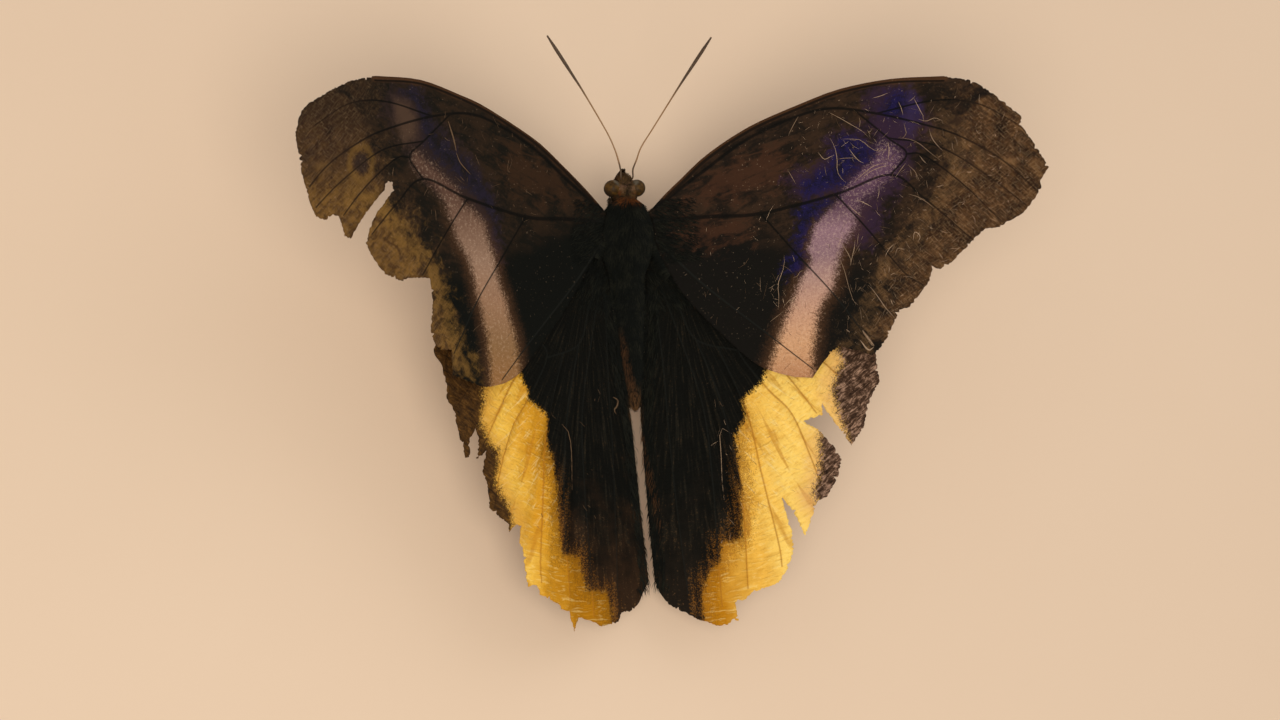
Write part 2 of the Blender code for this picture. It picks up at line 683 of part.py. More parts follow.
def fore_veins(wing):
    """The veins of the plan, those before the base line kept in step with the front edge."""
    front = fore_front(wing)
    paths = [beside(front, -COSTA_INSET)]
    for path in FORE_VEINS.values():
        fitted = []
        for u, v in path:
            share = height_at(front, u) / height_at(FORE_FRONT_RIGHT, u) if v > 0 else 1.0
            fitted.append((u, v * share))
        paths.append(fitted)
    return paths


def field_points(outline, veins):
    """A staggered grid over the membrane, clear of its edge and its veins."""
    closed = outline + outline[:1]
    low_u, high_u = min(u for u, _ in outline), max(u for u, _ in outline)
    low_v, high_v = min(v for _, v in outline), max(v for _, v in outline)
    row_step = FIELD_STEP * math.sqrt(0.75)
    points = []
    for row in range(int((high_v - low_v) / row_step) + 1):
        shift = FIELD_STEP / 2 * (row % 2)
        for column in range(int((high_u - low_u) / FIELD_STEP) + 1):
            point = (low_u + shift + column * FIELD_STEP, low_v + row * row_step)
            clear = inside(point, outline) and distance_to_path(point, closed) > FIELD_CLEAR
            if clear and all(distance_to_path(point, vein) > FIELD_CLEAR for vein in veins):
                points.append(point)
    return points


def ridge(point, veins):
    """Height of the raised veins at a point of the plan."""
    nearest = min(distance_to_path(point, vein) for vein in veins)
    return VEIN_HEIGHT * max(0.0, 1.0 - nearest / VEIN_HALF_WIDTH)


def on_membrane(corners, outline):
    """Whether a triangle of the plan is part of the wing, and not a sliver along its edge."""
    a, b, c = corners
    area = abs((b - a).cross(c - a)) / 2
    return area > SLIVER_AREA and inside((a + b + c) / 3, outline)


def make_wing(name, wing, outline, vein_paths):
    """A thin curved plate, split into triangles alike on both faces, with raised veins."""
    veins = []
    for path in vein_paths:
        run = clipped(smooth_path(path, VEIN_STEP), outline, VEIN_HALF_WIDTH + EDGE_CLEAR)
        if len(run) > 1:
            veins.append(run)
    plan = list(outline)
    edges = []
    for vein in veins:
        for offset in (-VEIN_HALF_WIDTH, 0.0, VEIN_HALF_WIDTH):
            line = beside(vein, offset) if offset else vein
            first = len(plan)
            plan += line
            edges += [(first + k, first + k + 1) for k in range(len(line) - 1)]
    plan += field_points(outline, veins)
    border = list(range(len(outline)))
    flat, _, triangles, _, _, _ = delaunay_2d_cdt(
        [Vector(point) for point in plan], edges, [border], 1, MERGE_WITHIN, False
    )
    triangles = [face for face in triangles if on_membrane([flat[k] for k in face], outline)]
    heights = [ridge(point, veins) for point in flat]
    points = []
    for point, height in zip(flat, heights):
        points.append(wing_point(wing, point.x, point.y, MEMBRANE / 2 + height))
    for point, height in zip(flat, heights):
        points.append(wing_point(wing, point.x, point.y, -MEMBRANE / 2 - VEIN_UNDERSIDE * height))
    count = len(flat)
    faces = [tuple(face) for face in triangles]
    faces += [tuple(count + corner for corner in reversed(face)) for face in triangles]
    sides = set()
    for face in triangles:
        for start, end in zip(face, face[1:] + face[:1]):
            sides.add((start, end))
    for start, end in sides:
        if (end, start) not in sides:
            faces.append((end, start, start + count, end + count))
    return make_object(name, points, faces, "wing", WING_SHARP_DEGREES)


def make_wings():
    for name, wing in WINGS.items():
        if name.startswith("forewing"):
            make_wing(name, wing, fore_outline(wing), fore_veins(wing))
        else:
            make_wing(name, wing, hind_outline(wing), HIND_VEINS.values())


def centre_over_origin():
    """Move every mesh so that the whole animal's bounding box stands centred on the origin."""
    corners = [vertex.co for thing in bpy.data.objects for vertex in thing.data.vertices]
    middle_x = (min(c.x for c in corners) + max(c.x for c in corners)) / 2
    middle_y = (min(c.y for c in corners) + max(c.y for c in corners)) / 2
    shift = Matrix.Translation((-middle_x, -middle_y, 0.0))
    for thing in bpy.data.objects:
        thing.data.transform(shift)
        thing.data.update()


def main():
    clear_scene()
    make_thorax()
    make_abdomen()
    make_head_and_eyes()
    for name, limb in ANTENNAE.items():
        make_limb(name, limb, HEAD, "chitin")
    make_pair("palp", PALP, HEAD, "fur")
    make_proboscis()
    make_pair("foreleg", LEGS["foreleg"], THORAX, "chitin")
    for stem in ("midleg", "hindleg"):
        make_pair(stem, LEGS[stem], THORAX, "chitin", FLOOR)
    make_wings()
    centre_over_origin()


main()
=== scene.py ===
"""Studio scene of the standing owl butterfly: its scales, markings, fur and light.

Lengths are millimetres in the animal's own frame unless a name says otherwise: +Y towards
the head, +X towards its right, +Z up, the floor at z = 0, the body's midplane at x = 0.
Only `to_metres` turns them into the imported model's metres. A wing's plan is (u, v): u
outwards and v forwards from its base.
"""

import math
from collections import namedtuple

import bpy
import numpy as np
from mathutils import Matrix, Vector
from mathutils.geometry import delaunay_2d_cdt


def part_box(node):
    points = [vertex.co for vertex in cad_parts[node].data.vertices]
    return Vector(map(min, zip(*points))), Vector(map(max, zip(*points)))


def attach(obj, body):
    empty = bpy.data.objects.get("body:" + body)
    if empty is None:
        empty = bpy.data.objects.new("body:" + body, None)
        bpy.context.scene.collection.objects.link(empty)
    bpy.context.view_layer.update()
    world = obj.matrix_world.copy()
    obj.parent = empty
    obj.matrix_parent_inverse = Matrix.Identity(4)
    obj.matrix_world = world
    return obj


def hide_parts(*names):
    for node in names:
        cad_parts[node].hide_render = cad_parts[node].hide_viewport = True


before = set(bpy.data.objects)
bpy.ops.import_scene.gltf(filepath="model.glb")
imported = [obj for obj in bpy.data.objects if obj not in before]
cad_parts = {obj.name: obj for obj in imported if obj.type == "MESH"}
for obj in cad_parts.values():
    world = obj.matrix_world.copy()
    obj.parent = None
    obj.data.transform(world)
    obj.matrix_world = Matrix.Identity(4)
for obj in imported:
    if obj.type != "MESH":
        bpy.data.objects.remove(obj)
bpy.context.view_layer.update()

MM = 0.001
SEED = 20


def plot(text):
    """Points written as plain numbers, with a comma between one point and the next."""
    return [tuple(map(float, point.split())) for point in text.split(",")]


def plots(text):
    """Several rows of points, with a semicolon between one row and the next."""
    return [plot(row) for row in text.split(";")]


# Where the animal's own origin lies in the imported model
THORAX_FRONT_Y = 2.4
thorax_low, thorax_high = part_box("thorax")
ORIGIN = np.array([
    (thorax_low.x + thorax_high.x) / 2 / MM,
    thorax_high.y / MM - THORAX_FRONT_Y,
    0.0,
])

# Photograph: size, pixels from lens to film plane, and the pixel that the lens points at
PHOTO_WIDTH, PHOTO_HEIGHT = 1280, 720
FOCAL_PIXELS = 524 / 0.19
AIM_PIXEL = (634.3, 289.4)
AIM_POINT = Vector((0.0, -15.0, 15.0))
CAMERA_DISTANCE = 524.0
CAMERA_LEAN_RIGHT = math.radians(18.8)
CAMERA_LEAN_FORWARD = math.radians(11.3)
CAMERA_ROLL = math.radians(-5.5)
SENSOR_WIDTH = 36.0

# Wing frames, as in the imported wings
Wing = namedtuple("Wing", "side base raised pitch camber")
FORE_BASE = (4.5, 0.0, 15.5)
HIND_BASE = (4.0, -5.0, 13.0)
FORE_REACH = 77.0
FORE_DROOP = 2.5
FORE_REAR_BEND = 0.003
FORE_FRONT_BEND = 0.004
FORE_FRONT_BEND_FROM = 8.0
HIND_BEND = 0.0016
HIND_BEND_FROM = 20.0


def fore_camber(u, v):
    droop = FORE_DROOP * (np.maximum(u, 0.0) / FORE_REACH) ** 2
    front = FORE_FRONT_BEND * np.maximum(v - FORE_FRONT_BEND_FROM, 0.0) ** 2
    return FORE_REAR_BEND * np.minimum(v, 0.0) ** 2 - front - droop


def hind_camber(u, v):
    return -HIND_BEND * (u - HIND_BEND_FROM) ** 2


WINGS = {
    "forewing_left": Wing(-1, FORE_BASE, math.radians(29.0), math.radians(12.0), fore_camber),
    "forewing_right": Wing(1, FORE_BASE, math.radians(25.5), math.radians(11.5), fore_camber),
    "hindwing_left": Wing(-1, HIND_BASE, math.radians(20.0), math.radians(4.0), hind_camber),
    "hindwing_right": Wing(1, HIND_BASE, math.radians(21.5), math.radians(4.0), hind_camber),
}

# Veins in plan: the path, and the half width at its two ends
Vein = namedtuple("Vein", "path start end")
MEDIAN_FORK = (21.0, -2.9)
CUBITUS_FORK = (35.6, -1.0)
CELL_TIP = (49.8, 5.0)
CELL_UPPER = (46.7, 8.4)
CELL_LOWER = (46.3, 1.4)
FORE_VEINS = [
    Vein(plot(
        "-0.5 -0.3, 10 5.8, 20 11.4, 30 14.6, 37 15.3, 45 13.3, 53 10.4, 60 7.2, 67.4 1.8, 73 -4.5"
    ), 0.42, 0.14),
    Vein(plot("45 13.3, 56 14.4, 64 12.9, 71 8.2"), 0.2, 0.12),
    Vein([(41.0, 14.4), CELL_UPPER, CELL_TIP, CELL_LOWER], 0.2, 0.2),
    Vein([CELL_UPPER, (56.0, 5.6), (64.5, -1.0), (71.0, -7.4)], 0.18, 0.12),
    Vein([CELL_TIP, (53.0, 4.3), (59.5, -1.8), (66.0, -9.8)], 0.18, 0.12),
    Vein([(-0.5, -1.8), (11.0, -2.3), MEDIAN_FORK, CUBITUS_FORK, CELL_LOWER, (52.0, -3.6),
          (60.0, -12.4)], 0.5, 0.12),
    Vein([CUBITUS_FORK, (41.0, -8.6), (46.5, -17.0), (50.0, -20.2)], 0.22, 0.12),
    Vein([MEDIAN_FORK, (27.0, -11.5), (33.0, -19.8), (38.8, -29.4)], 0.22, 0.12),
    Vein(plot("-0.5 -4.2, 8 -14.4, 19.2 -25.3, 27.6 -33.4"), 0.26, 0.12),
]
COSTA_INSET = 0.7
HIND_CELL_LOWER = (15.4, -23.0)
HIND_CELL_UPPER = (16.2, -15.6)
HIND_MEDIA_FORK = (17.2, -19.4)
HIND_CUBITUS_FORK = (7.6, -20.0)
HIND_VEINS = [
    Vein(plot("1 -0.6, 11 0.6, 22 -3.8, 32 -13, 38.5 -25"), 0.3, 0.12),
    Vein([(1.0, -2.0), (9.5, -7.6), HIND_CELL_UPPER, (27.0, -22.5), (37.0, -33.5)], 0.3, 0.12),
    Vein([HIND_CELL_UPPER, HIND_MEDIA_FORK, (24.0, -28.5), (30.5, -39.0), (33.2, -43.0)], 0.2, 0.12),
    Vein([HIND_MEDIA_FORK, HIND_CELL_LOWER, (20.0, -30.6), (24.2, -36.0), (26.8, -44.0),
          (28.6, -51.0)], 0.2, 0.12),
    Vein([(1.0, -4.0), (4.6, -12.5), HIND_CUBITUS_FORK, HIND_CELL_LOWER], 0.26, 0.2),
    Vein(plot("11.5 -21.8, 15.8 -35, 17.4 -47, 19.2 -60, 19.4 -64.6"), 0.2, 0.14),
    Vein([HIND_CUBITUS_FORK, (11.2, -33.0), (13.2, -50.0), (12.6, -68.0)], 0.2, 0.14),
    Vein(plot("1 -5.8, 4.2 -18, 7.6 -33, 8 -48, 7.6 -60, 7.4 -71"), 0.2, 0.14),
    Vein(plot("0.6 -12, 0.8 -25, 0.6 -40, 0.8 -55, 1.2 -68"), 0.18, 0.14),
]

# Markings in plan, closed outlines where an area is meant
PALE = {
    1: plot(
        "49.5 4.6, 47.9 7.7, 45.2 8.6, 43.4 6.7, 42.4 4.7, 40.2 3.5, 38.3 1.8, 36.1 -0.6, 33.5 -2.6, "
        "31.6 -4.1, 30.1 -6, 29 -8.6, 28.2 -10.8, 28.5 -13.1, 27.1 -14.9, 25.9 -17.2, 24.7 -19.9, "
        "22.8 -23.1, 21 -27.1, 18.8 -31.8, 18 -37, 27.9 -37.1, 28.4 -30.8, 29.4 -27.1, 30.2 -23.4, "
        "31.4 -21.3, 33.5 -19.1, 34.4 -16.7, 35.3 -13.6, 36.1 -11.7, 37.3 -10, 39.1 -7.5, 39.8 -4.9, "
        "41.5 -2.8, 43.5 -1.9, 45.6 -0.3, 47.2 1.3"
    ),
    -1: plot(
        "49.1 7.1, 47.4 6.4, 44.5 5, 41.3 3.2, 38 1.4, 35.9 -1.3, 32.8 -2.8, 30.3 -4.8, 29.4 -7.6, "
        "28 -10.6, 27.2 -13.7, 26.2 -16, 24.9 -18.2, 24.1 -21.3, 22.9 -24, 22.3 -27.6, 21.8 -36, "
        "30.9 -36.6, 30.9 -29.1, 31.2 -25.4, 32.1 -21.9, 33.2 -19.3, 33.9 -15.7, 35.1 -12.5, 36.8 -10.5, "
        "38.8 -8, 39.9 -5.7, 41.2 -3.1, 42.8 -1.5, 45.7 0.3, 48.9 2.3, 50.2 4.3"
    ),
}
UPPER_PATCH = {
    1: plot("52 17.6, 53.6 13.6, 52.2 9.6, 50.6 8.4, 49.8 11, 50.6 14.6"),
    -1: plot("53.9 14.6, 50.7 14.6, 48.7 12.3, 48.5 8.4, 51.3 7.1, 53.2 10.3"),
}
# Where the forewings' painted deep blue iridescent sheen lies
INDIGO_SHEEN = {
    1: [
        plot(
            "50.9 16.5, 48.9 16.4, 47.5 15.6, 46.2 14.2, 46.7 13.2, 48.4 12, 50.9 12.1, 52.4 11.5, "
            "53 13.4, 52.1 15.4"
        ),
        plot(
            "37.3 9.6, 39.6 9.5, 41.7 8.1, 43.2 6.3, 42.5 4.9, 40.2 3.8, 38.3 2.2, 36.3 0.9, 33.7 0.4, "
            "30 -0.3, 29.4 1.3, 31.5 3, 34.7 4.1, 36.5 5.8, 36.4 8.1"
        ),
        plot(
            "28.1 -3.1, 30.6 -2.1, 32.9 -1.6, 35.6 -1.7, 34.3 -2.9, 31.6 -4.3, 29.9 -6.2, 28.6 -8.9, "
            "27.8 -11.1, 28.5 -13.1, 27 -14.5, 24.8 -15.4, 24.4 -13.4, 26.2 -11.5, 27.2 -7.8, 28.2 -5.4"
        ),
    ],
    -1: [
        plot(
            "52.6 16.4, 49 14.6, 47.2 10.6, 45.6 7.4, 41 4.6, 36.8 2.2, 32.2 -1.4, 29.6 -4.6, 28.4 -8, "
            "27 -11.4, 27.6 -6, 29 -1.6, 31.4 1.8, 35.2 5, 40.2 7.6, 45 11, 46.6 14.8, 49.4 17"
        ),
    ],
}
# Where the forewings' painted purple iridescent sheen lies
VIOLET_SHEEN = {
    1: plot(
        "44.3 17.5, 50.9 17.1, 53.6 12.5, 54.1 10, 51.1 7.5, 50 4.2, 48.5 1.1, 47 -1.6, 43.8 -3.1, "
        "43.4 -5.9, 42 -8.6, 40.2 -11.3, 37.3 -10, 37.8 -5.2, 37.5 -1.4, 28.8 -0.3, 27.7 2.7, 35.3 5.6, "
        "36.1 9.3, 39.7 10.4, 44.4 8.3, 44.1 12.5"
    ),
    -1: plot(
        "54.4 17, 49.9 16.9, 46.8 14.6, 45.9 11.1, 40.1 9, 35 6.1, 31.2 1.9, 29 -1.5, 27.7 -6, "
        "27.5 -11.9, 32.2 -5.5, 36.8 -1.4, 42.2 0.7, 47.2 3.8, 51 7.8, 55.9 12.6"
    ),
}
RUST_CELL = plot("6 1.2, 8.7 5, 16 9, 26 11, 29 7, 27 2, 17.4 -0.6")
RUST_BASE = plot("3.5 -1.6, 12 -2, 20 -3.2, 18 -8.6, 10 -9, 4 -7.6")
OCHRE_CHAIN = {
    1: plot(
        "54.6 16.2, 57.2 10.5, 58.4 5.7, 59 1.8, 58.2 -2, 53.4 -5.2, 50.2 -9.6, 46.4 -13, 43.1 -17.3, "
        "39.7 -21.7, 37.7 -26.2, 35.9 -29.8"
    ),
    -1: plot(
        "54.9 15.9, 60.8 9.3, 64.8 4.4, 64.9 0, 59.9 -2.9, 53.9 -5.3, 50.1 -8.5, 46.8 -11.4, 44.4 -14, "
        "41.6 -17.2, 40 -20.7, 39 -25.1, 35.2 -32.4"
    ),
}
BEYOND_BAND = plot(
    "55 22, 53.5 13, 51 6, 46 -1, 40 -7.5, 36.5 -13, 33.5 -21, 31 -27, 28.5 -36, 90 -45, 90 25"
)
EYESPOT = {1: (60.8, 2.5), -1: (60.5, 2.6)}
YELLOW = {
    1: plot(
        "23.5 -20, 20.7 -26.3, 19.3 -29.5, 17.2 -31, 15.3 -32.5, 15.6 -35.4, 14.2 -37.7, 13.1 -39.3, "
        "13.4 -43.8, 13.2 -49.4, 12.9 -54.2, 12.2 -58.5, 8.6 -59.2, 7.6 -62.5, 4.9 -65.3, 4 -68.4, "
        "3.1 -80, 60 -80, 60 -20"
    ),
    -1: plot(
        "24 -20, 21.9 -25.8, 20.3 -29.1, 20.2 -31, 17.5 -32.4, 16 -34.2, 16 -38, 15.3 -41.7, 14.6 -45.8, "
        "14.5 -52.2, 14.4 -57.8, 13.8 -59.6, 9.8 -59.9, 9.1 -63.6, 8.3 -66.2, 3.9 -66.6, 2.9 -69.1, "
        "1.7 -80, 60 -80, 60 -20"
    ),
}
DARK_MARGIN = {
    1: plot(
        "32.6 -20, 34.8 -27.2, 33.1 -30.1, 32.3 -32.7, 32.8 -35.2, 33.7 -39.2, 34.7 -43.8, 30.8 -39.4, "
        "28.9 -40.8, 28.7 -44.4, 28 -48.1, 26.7 -51.2, 27.4 -54.5, 60 -55, 60 -20"
    ),
    -1: plot(
        "29.8 -20, 29.8 -27.5, 30.2 -31.2, 30.6 -33.9, 30.3 -36.7, 29.5 -38.9, 27.6 -40.3, 27.6 -43.1, "
        "28.1 -45.8, 27.2 -48, 26.2 -50, 25.2 -52.2, 24.9 -55.6, 60 -56, 60 -20"
    ),
}

# Scratches where the scales are rubbed off: two corners of a patch in plan, how many, their
# usual length, and the two headings in degrees that they run in
Patch = namedtuple("Patch", "low high count length headings")
SCRATCHES = {
    "forewing_right": [
        Patch((28.0, 4.0), (46.0, 15.0), 60, 1.3, (60.0, -60.0)),
        Patch((36.0, -1.0), (52.0, 14.0), 60, 1.8, (20.0, -50.0)),
        Patch((33.0, -30.0), (44.0, -8.0), 130, 2.2, (-65.0, 60.0)),
        Patch((20.0, -36.0), (28.0, -13.0), 70, 2.0, (65.0, -55.0)),
        Patch((8.0, -24.0), (24.0, -3.0), 30, 2.6, (50.0, -70.0)),
        Patch((42.0, -26.0), (56.0, 2.0), 140, 1.6, (50.0, -40.0)),
        Patch((50.0, -16.0), (76.0, 15.0), 240, 1.4, (30.0, -55.0)),
    ],
    "forewing_left": [
        Patch((16.0, -6.0), (44.0, 14.0), 60, 1.8, (10.0, 80.0)),
        Patch((22.0, -36.0), (34.0, -16.0), 16, 2.2, (60.0, -40.0)),
        Patch((36.0, -32.0), (72.0, 14.0), 30, 1.4, (-20.0, -60.0)),
    ],
    "hindwing_right": [
        Patch((8.0, -60.0), (17.0, -28.0), 26, 1.4, (-80.0, 40.0)),
        Patch((16.0, -60.0), (32.0, -28.0), 20, 2.0, (-60.0, 10.0)),
    ],
    "hindwing_left": [
        Patch((2.0, -58.0), (14.0, -26.0), 20, 1.4, (-80.0, 40.0)),
        Patch((16.0, -60.0), (32.0, -28.0), 16, 2.0, (-60.0, 10.0)),
    ],
}
TRACED = {
    "forewing_right": plots("""
        36 14.7, 37.8 13.5, 39.5 12.2, 42 10.3, 42.9 9.1;
        41.7 13, 41.8 12.1, 41.5 11;
        37.8 9.3, 39.5 9.1, 41.4 8.7, 42.4 7.8, 43.4 6.7, 44.9 6.1, 46.1 6.4;
        39.1 7.4, 39.7 6.2, 40.6 4.9, 41.6 4.2;
        35.8 9.7, 36.4 8.1, 36.6 6.8, 36.6 5.1, 36.4 3.5, 36.8 2.2, 37.8 0.9;
        33.2 7.4, 34.2 5.9, 35.4 6.2, 36.2 6.4;
        36.6 5.6, 38.2 5.6, 40 5.4;
        46.6 7.8, 46.6 6.1, 46.2 4.3;
        39.5 1.1, 41.2 2.2, 43 3.3, 44.6 3.7, 45.7 3.7;
        40.9 1.5, 42.9 2.6, 45.3 3.2, 46.4 3.1;
        44.6 16.3, 46.1 16.5, 47.7 16.9;
        49.4 15.1, 49.8 13.8, 50 12.4;
        50 10.9, 50.1 9.7, 50.2 8.9, 49.5 8.1, 48.9 8.1;
        52.4 15.3, 53 13.7, 53.6 12.1, 53.9 11.5;
        52.7 11.3, 54.2 10.7, 55.9 11.1, 57.3 10.3;
        48.5 8.2, 50.4 7.8, 52.2 6.8, 53.5 5.5, 54.9 4, 55.9 3.1;
        54.6 9.1, 54.8 7.8, 55.4 6.4, 56.7 4.7;
        27 4.9, 27.6 3.5, 28.3 1.9;
        30.5 14.8, 29.8 13.9, 28.8 12.5, 27.9 11.1;
        24.5 -11.3, 24.3 -13.2, 23.5 -15, 22.7 -16.8, 22.6 -19.3, 22.2 -21.5;
        25.7 -15.8, 26.5 -15.6, 27.1 -14.9, 27.9 -14.6;
        23.6 -20.8, 24.7 -19.9, 25.5 -20.6;
        35.5 -10.1, 36.3 -11.8, 36.9 -13.4, 36.9 -14.7;
        38.2 -10.1, 37.8 -11.9, 37.2 -13.4, 36.7 -14.9;
        34.4 -11.9, 35.1 -13.9, 35.6 -15.9, 35.9 -18.2, 36.4 -20.9, 37 -22.3;
        39.7 -18.8, 40.6 -20.1, 41.6 -21.9, 42.5 -23.6, 44 -25.6;
        20.4 -23.6, 21.7 -22.8, 23.1 -22;
        37.7 -3.3, 39 -4.8, 40 -5.9;
        39.7 -2.6, 41.1 -3.5, 42.1 -4.2;
        49.8 2.9, 51 1.4, 51.2 -0.2;
        47.5 1.2, 48.6 2.4, 49.5 3.3;
        49.2 -2.6, 51 -3.4, 52.4 -4.5, 53.7 -5.8;
        45.4 -13.8, 46.1 -12.6, 47.4 -13.1;
        49.1 -11.4, 49.6 -9.9, 50.5 -10.8, 50 -11.9
    """),
}
TRACED_HALF_WIDTH = 0.075
LOOSE_EDGES = {
    "forewing_right": [
        (plot("37.6 -27.2, 38.5 -28.8, 39.5 -30.4"), 0.3),
        (plot("39.4 -30.6, 38.3 -31, 37 -29"), 0.2),
    ],
    "forewing_left": [
        (plot("41.3 12.4, 40.4 10.9, 39.6 9.3, 38.8 7.2"), 0.2),
        (plot("38.8 7, 37.8 5.4, 36.2 4.2, 35 3.4"), 0.12),
    ],
    "hindwing_right": [
        (plot("12.6 -38.7, 11.7 -37.9, 10.4 -37.5, 10.2 -39.6, 10.1 -42.5, 9.8 -47.2, 9.8 -51"), 0.1),
    ],
    "hindwing_left": [
        (plot("-0.2 -29.9, -1.4 -30.4, -1.1 -31.6, -0.3 -32.3, -0.8 -33.1"), 0.24),
        (plot("14 -36.1, 13 -35.3, 11.7 -36, 11.1 -38.3, 10.8 -41.1, 10.7 -43.9, 10.7 -47.6"), 0.1),
    ],
}

# Wing surface: spacing of its points, thickness and relief
GRID_STEP = 0.42
EDGE_STEP = 0.35
VEIN_STEP = 0.6
CLEAR_OF_VEIN = 0.36
CLEAR_OF_EDGE = 0.22
MERGE_WITHIN = 0.02
HALF_MEMBRANE = 0.09
VEIN_RISE = 0.55
UNDER_VEIN_SHARE = 0.5
SAG = 0.2
SAG_REACH = 3.2

# Scratches: points along one, its least distance from the edge, how it sinks, rises and rounds
# off, its length as a share of the usual one, how it turns, its half width and its tone
SCRATCH_POINTS = 9
SCRATCH_INSET = 0.35
SCRATCH_SINK, SCRATCH_RISE, SCRATCH_ROUND = 0.04, 0.03, 0.9
SCRATCH_SHORTEST, SCRATCH_LONGER = 0.35, 1.3
SCRATCH_HEADING_SPREAD, SCRATCH_BEND, SCRATCH_WOBBLE = 24, 0.14, 0.07
SCRATCH_HALF_WIDTH, SCRATCH_WIDER = 0.022, 0.035
TORN_TONE, TORN_TONE_SPREAD = 0.55, 0.35
# Painted shade: scratches on the left wings darkened to this share of their tone
LEFT_SCRATCH_SHADE = 0.5

# Worn margins: how deep the fine teeth are, and how many go deeper and by how much. The
# forewing's margin lies beyond a line, and the hindwing's beyond two lines and at the tail
EDGE_BITE = 0.28
DEEP_SHARE = 0.05
DEEP_BITE = 0.7
FORE_MARGIN_CORNER = (58.5, 18.5)
FORE_MARGIN_ACROSS = (-53.5, 30.0)
HIND_MARGIN_U, HIND_MARGIN_V, HIND_TAIL_V = 6.0, -27.0, -69.0

# Pleats that fan out over a hindwing, and softer ripples over a forewing's outer part. A wave
# is its share, its turns round the fan and out along it, and where it starts
FAN_CENTRE = (5.0, -6.0)
FAN_SPREAD = 30.0
PLEAT_HEIGHT = 0.55
PLEAT_WAVES = ((0.55, 1.05, 0.0, 1.2), (0.45, 2.1, 0.09, 0.0))
PLEATS_FROM_REACH, PLEATS_REACH_SPAN = 16.0, 20.0
PLEATS_FROM_U, PLEATS_U_SPAN = 4.0, 8.0
CREASE_HEIGHT = 0.07
RIPPLE_HEIGHT = 0.12
RIPPLES_FROM, RIPPLES_SPAN = 20.0, 16.0
SPOT_SQUASH = (1.0, 0.85)

# Long hairs on the wings: corners and depth of a zone in plan, how many, how much they crowd
# towards its first corner, their length, and their flow outwards and forwards
HairZone = namedtuple("HairZone", "low high depth count crowd length flow")
WING_HAIRS = {
    "fore": [HairZone((-2.5, -10.0), (8.0, 2.0), 9.0, 2200, 2.2, 1.7, (0.8, -0.45))],
    "hind": [
        HairZone((-2.5, -13.0), (7.0, 0.5), 9.0, 1500, 1.6, 2.0, (0.5, -0.8)),
        HairZone((-7.0, -66.0), (8.0, -9.0), 2.4, 7500, 1.0, 2.2, (-0.22, -0.95)),
    ],
}
# Hairs from the wings' inner edges across to the body: how many for each millimetre of edge,
# their length, how they lean, and how far back beside the abdomen they reach
FRINGE_PER_MM = 46
FRINGE_LENGTH = 1.9
FRINGE_LEAN = 0.12
FRINGE_BACK_Y = -36.6
FRINGE_OUTER_U = 2.4
FRINGE_FRONT_V = -0.5
FRINGE_SCATTER, FRINGE_INSET = 0.12, 0.15
FRINGE_FLOW_BACK = 0.35

# The part of the unrolled skin that each wing's roots take: its plan's corner and span, and
# where it lies in its quarter
PLAN_CORNER, PLAN_SPAN = (-8.0, -72.0), (26.0, 80.0)
PLACES_FROM, PLACES_SPAN = 0.02, 0.46
FORE_FRONT = {
    1: plot(
        "3.3 3, 6.5 5.4, 10.7 8.6, 14.8 11, 18.9 13, 23 14.6, 30.9 16.9, 38.7 18.8, 48.4 19.5, 58.5 18.6"
    ),
    -1: plot(
        "3 2.1, 7.3 4.8, 12.9 8, 18.3 11, 23.6 13.1, 28.7 14.9, 33.7 16.5, 38.5 17.5, 48 19, 58.5 18.2"
    ),
}


def srgb(red, green, blue):
    """A colour as seen on a screen, turned into the linear values that shaders take."""
    channels = [value / 255 for value in (red, green, blue)]
    linear = [c / 12.92 if c <= 0.04045 else ((c + 0.055) / 1.055) ** 2.4 for c in channels]
    return (*linear, 1.0)


def stops(text):
    """Stops of a colour ramp: a place from 0 to 1 and its screen colour, a comma between stops."""
    return [(place, srgb(*colour)) for place, *colour in plot(text)]


def to_metres(points):
    return (np.asarray(points, float) + ORIGIN) * MM


def mesh_object(name, points, faces, materials, face_materials=None, smooth=True):
    """A mesh object from points in millimetres, nothing of it under the floor."""
    mesh = bpy.data.meshes.new(name)
    points[:, 2] = np.maximum(points[:, 2], 0.0)
    mesh.from_pydata(to_metres(points).tolist(), [], [tuple(map(int, face)) for face in faces])
    for material in materials:
        mesh.materials.append(material)
    if face_materials is not None:
        mesh.polygons.foreach_set("material_index", np.asarray(face_materials, np.int32))
    if smooth:
        mesh.shade_smooth()
    made = bpy.data.objects.new(name, mesh)
    bpy.context.scene.collection.objects.link(made)
    return made


def dressed(made, slot, replaced=(), **attributes):
    """Stores what the materials read at each point, and says where a piece belongs."""
    for name, values in attributes.items():
        values = np.asarray(values, np.float32)
        kind, field = ("FLOAT", "value") if values.ndim == 1 else ("FLOAT_VECTOR", "vector")
        made.data.attributes.new(name, kind, "POINT").data.foreach_set(field, values.ravel())
    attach(made, "root")
    if replaced:
        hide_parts(*replaced)


def unit(vectors):
    return vectors / np.maximum(np.linalg.norm(vectors, axis=-1, keepdims=True), 1e-9)


def joined(parts):
    """Rows of equal kinds of arrays put end to end, kind by kind."""
    return [np.concatenate(kind) for kind in zip(*parts)]


def faded(values, low, span):
    """A straight rise from 0 at the low value to 1 over the span."""
    return np.clip((values - low) / span, 0.0, 1.0)


def smooth_path(points, step):
    """Points about one step apart on a smooth curve through the given points."""
    points = np.asarray(points, float)
    framed = np.vstack([2 * points[0] - points[1], points, 2 * points[-1] - points[-2]])
    runs = []
    for before, start, end, after in zip(framed, framed[1:], framed[2:], framed[3:]):
        count = max(1, round(np.linalg.norm(end - start) / step))
        t = (np.arange(count) / count)[:, None]
        runs.append(0.5 * (
            2 * start + (end - before) * t + (2 * before - 5 * start + 4 * end - after) * t ** 2
            + (3 * start - before - 3 * end + after) * t ** 3
        ))
    return np.vstack([*runs, points[-1:]])


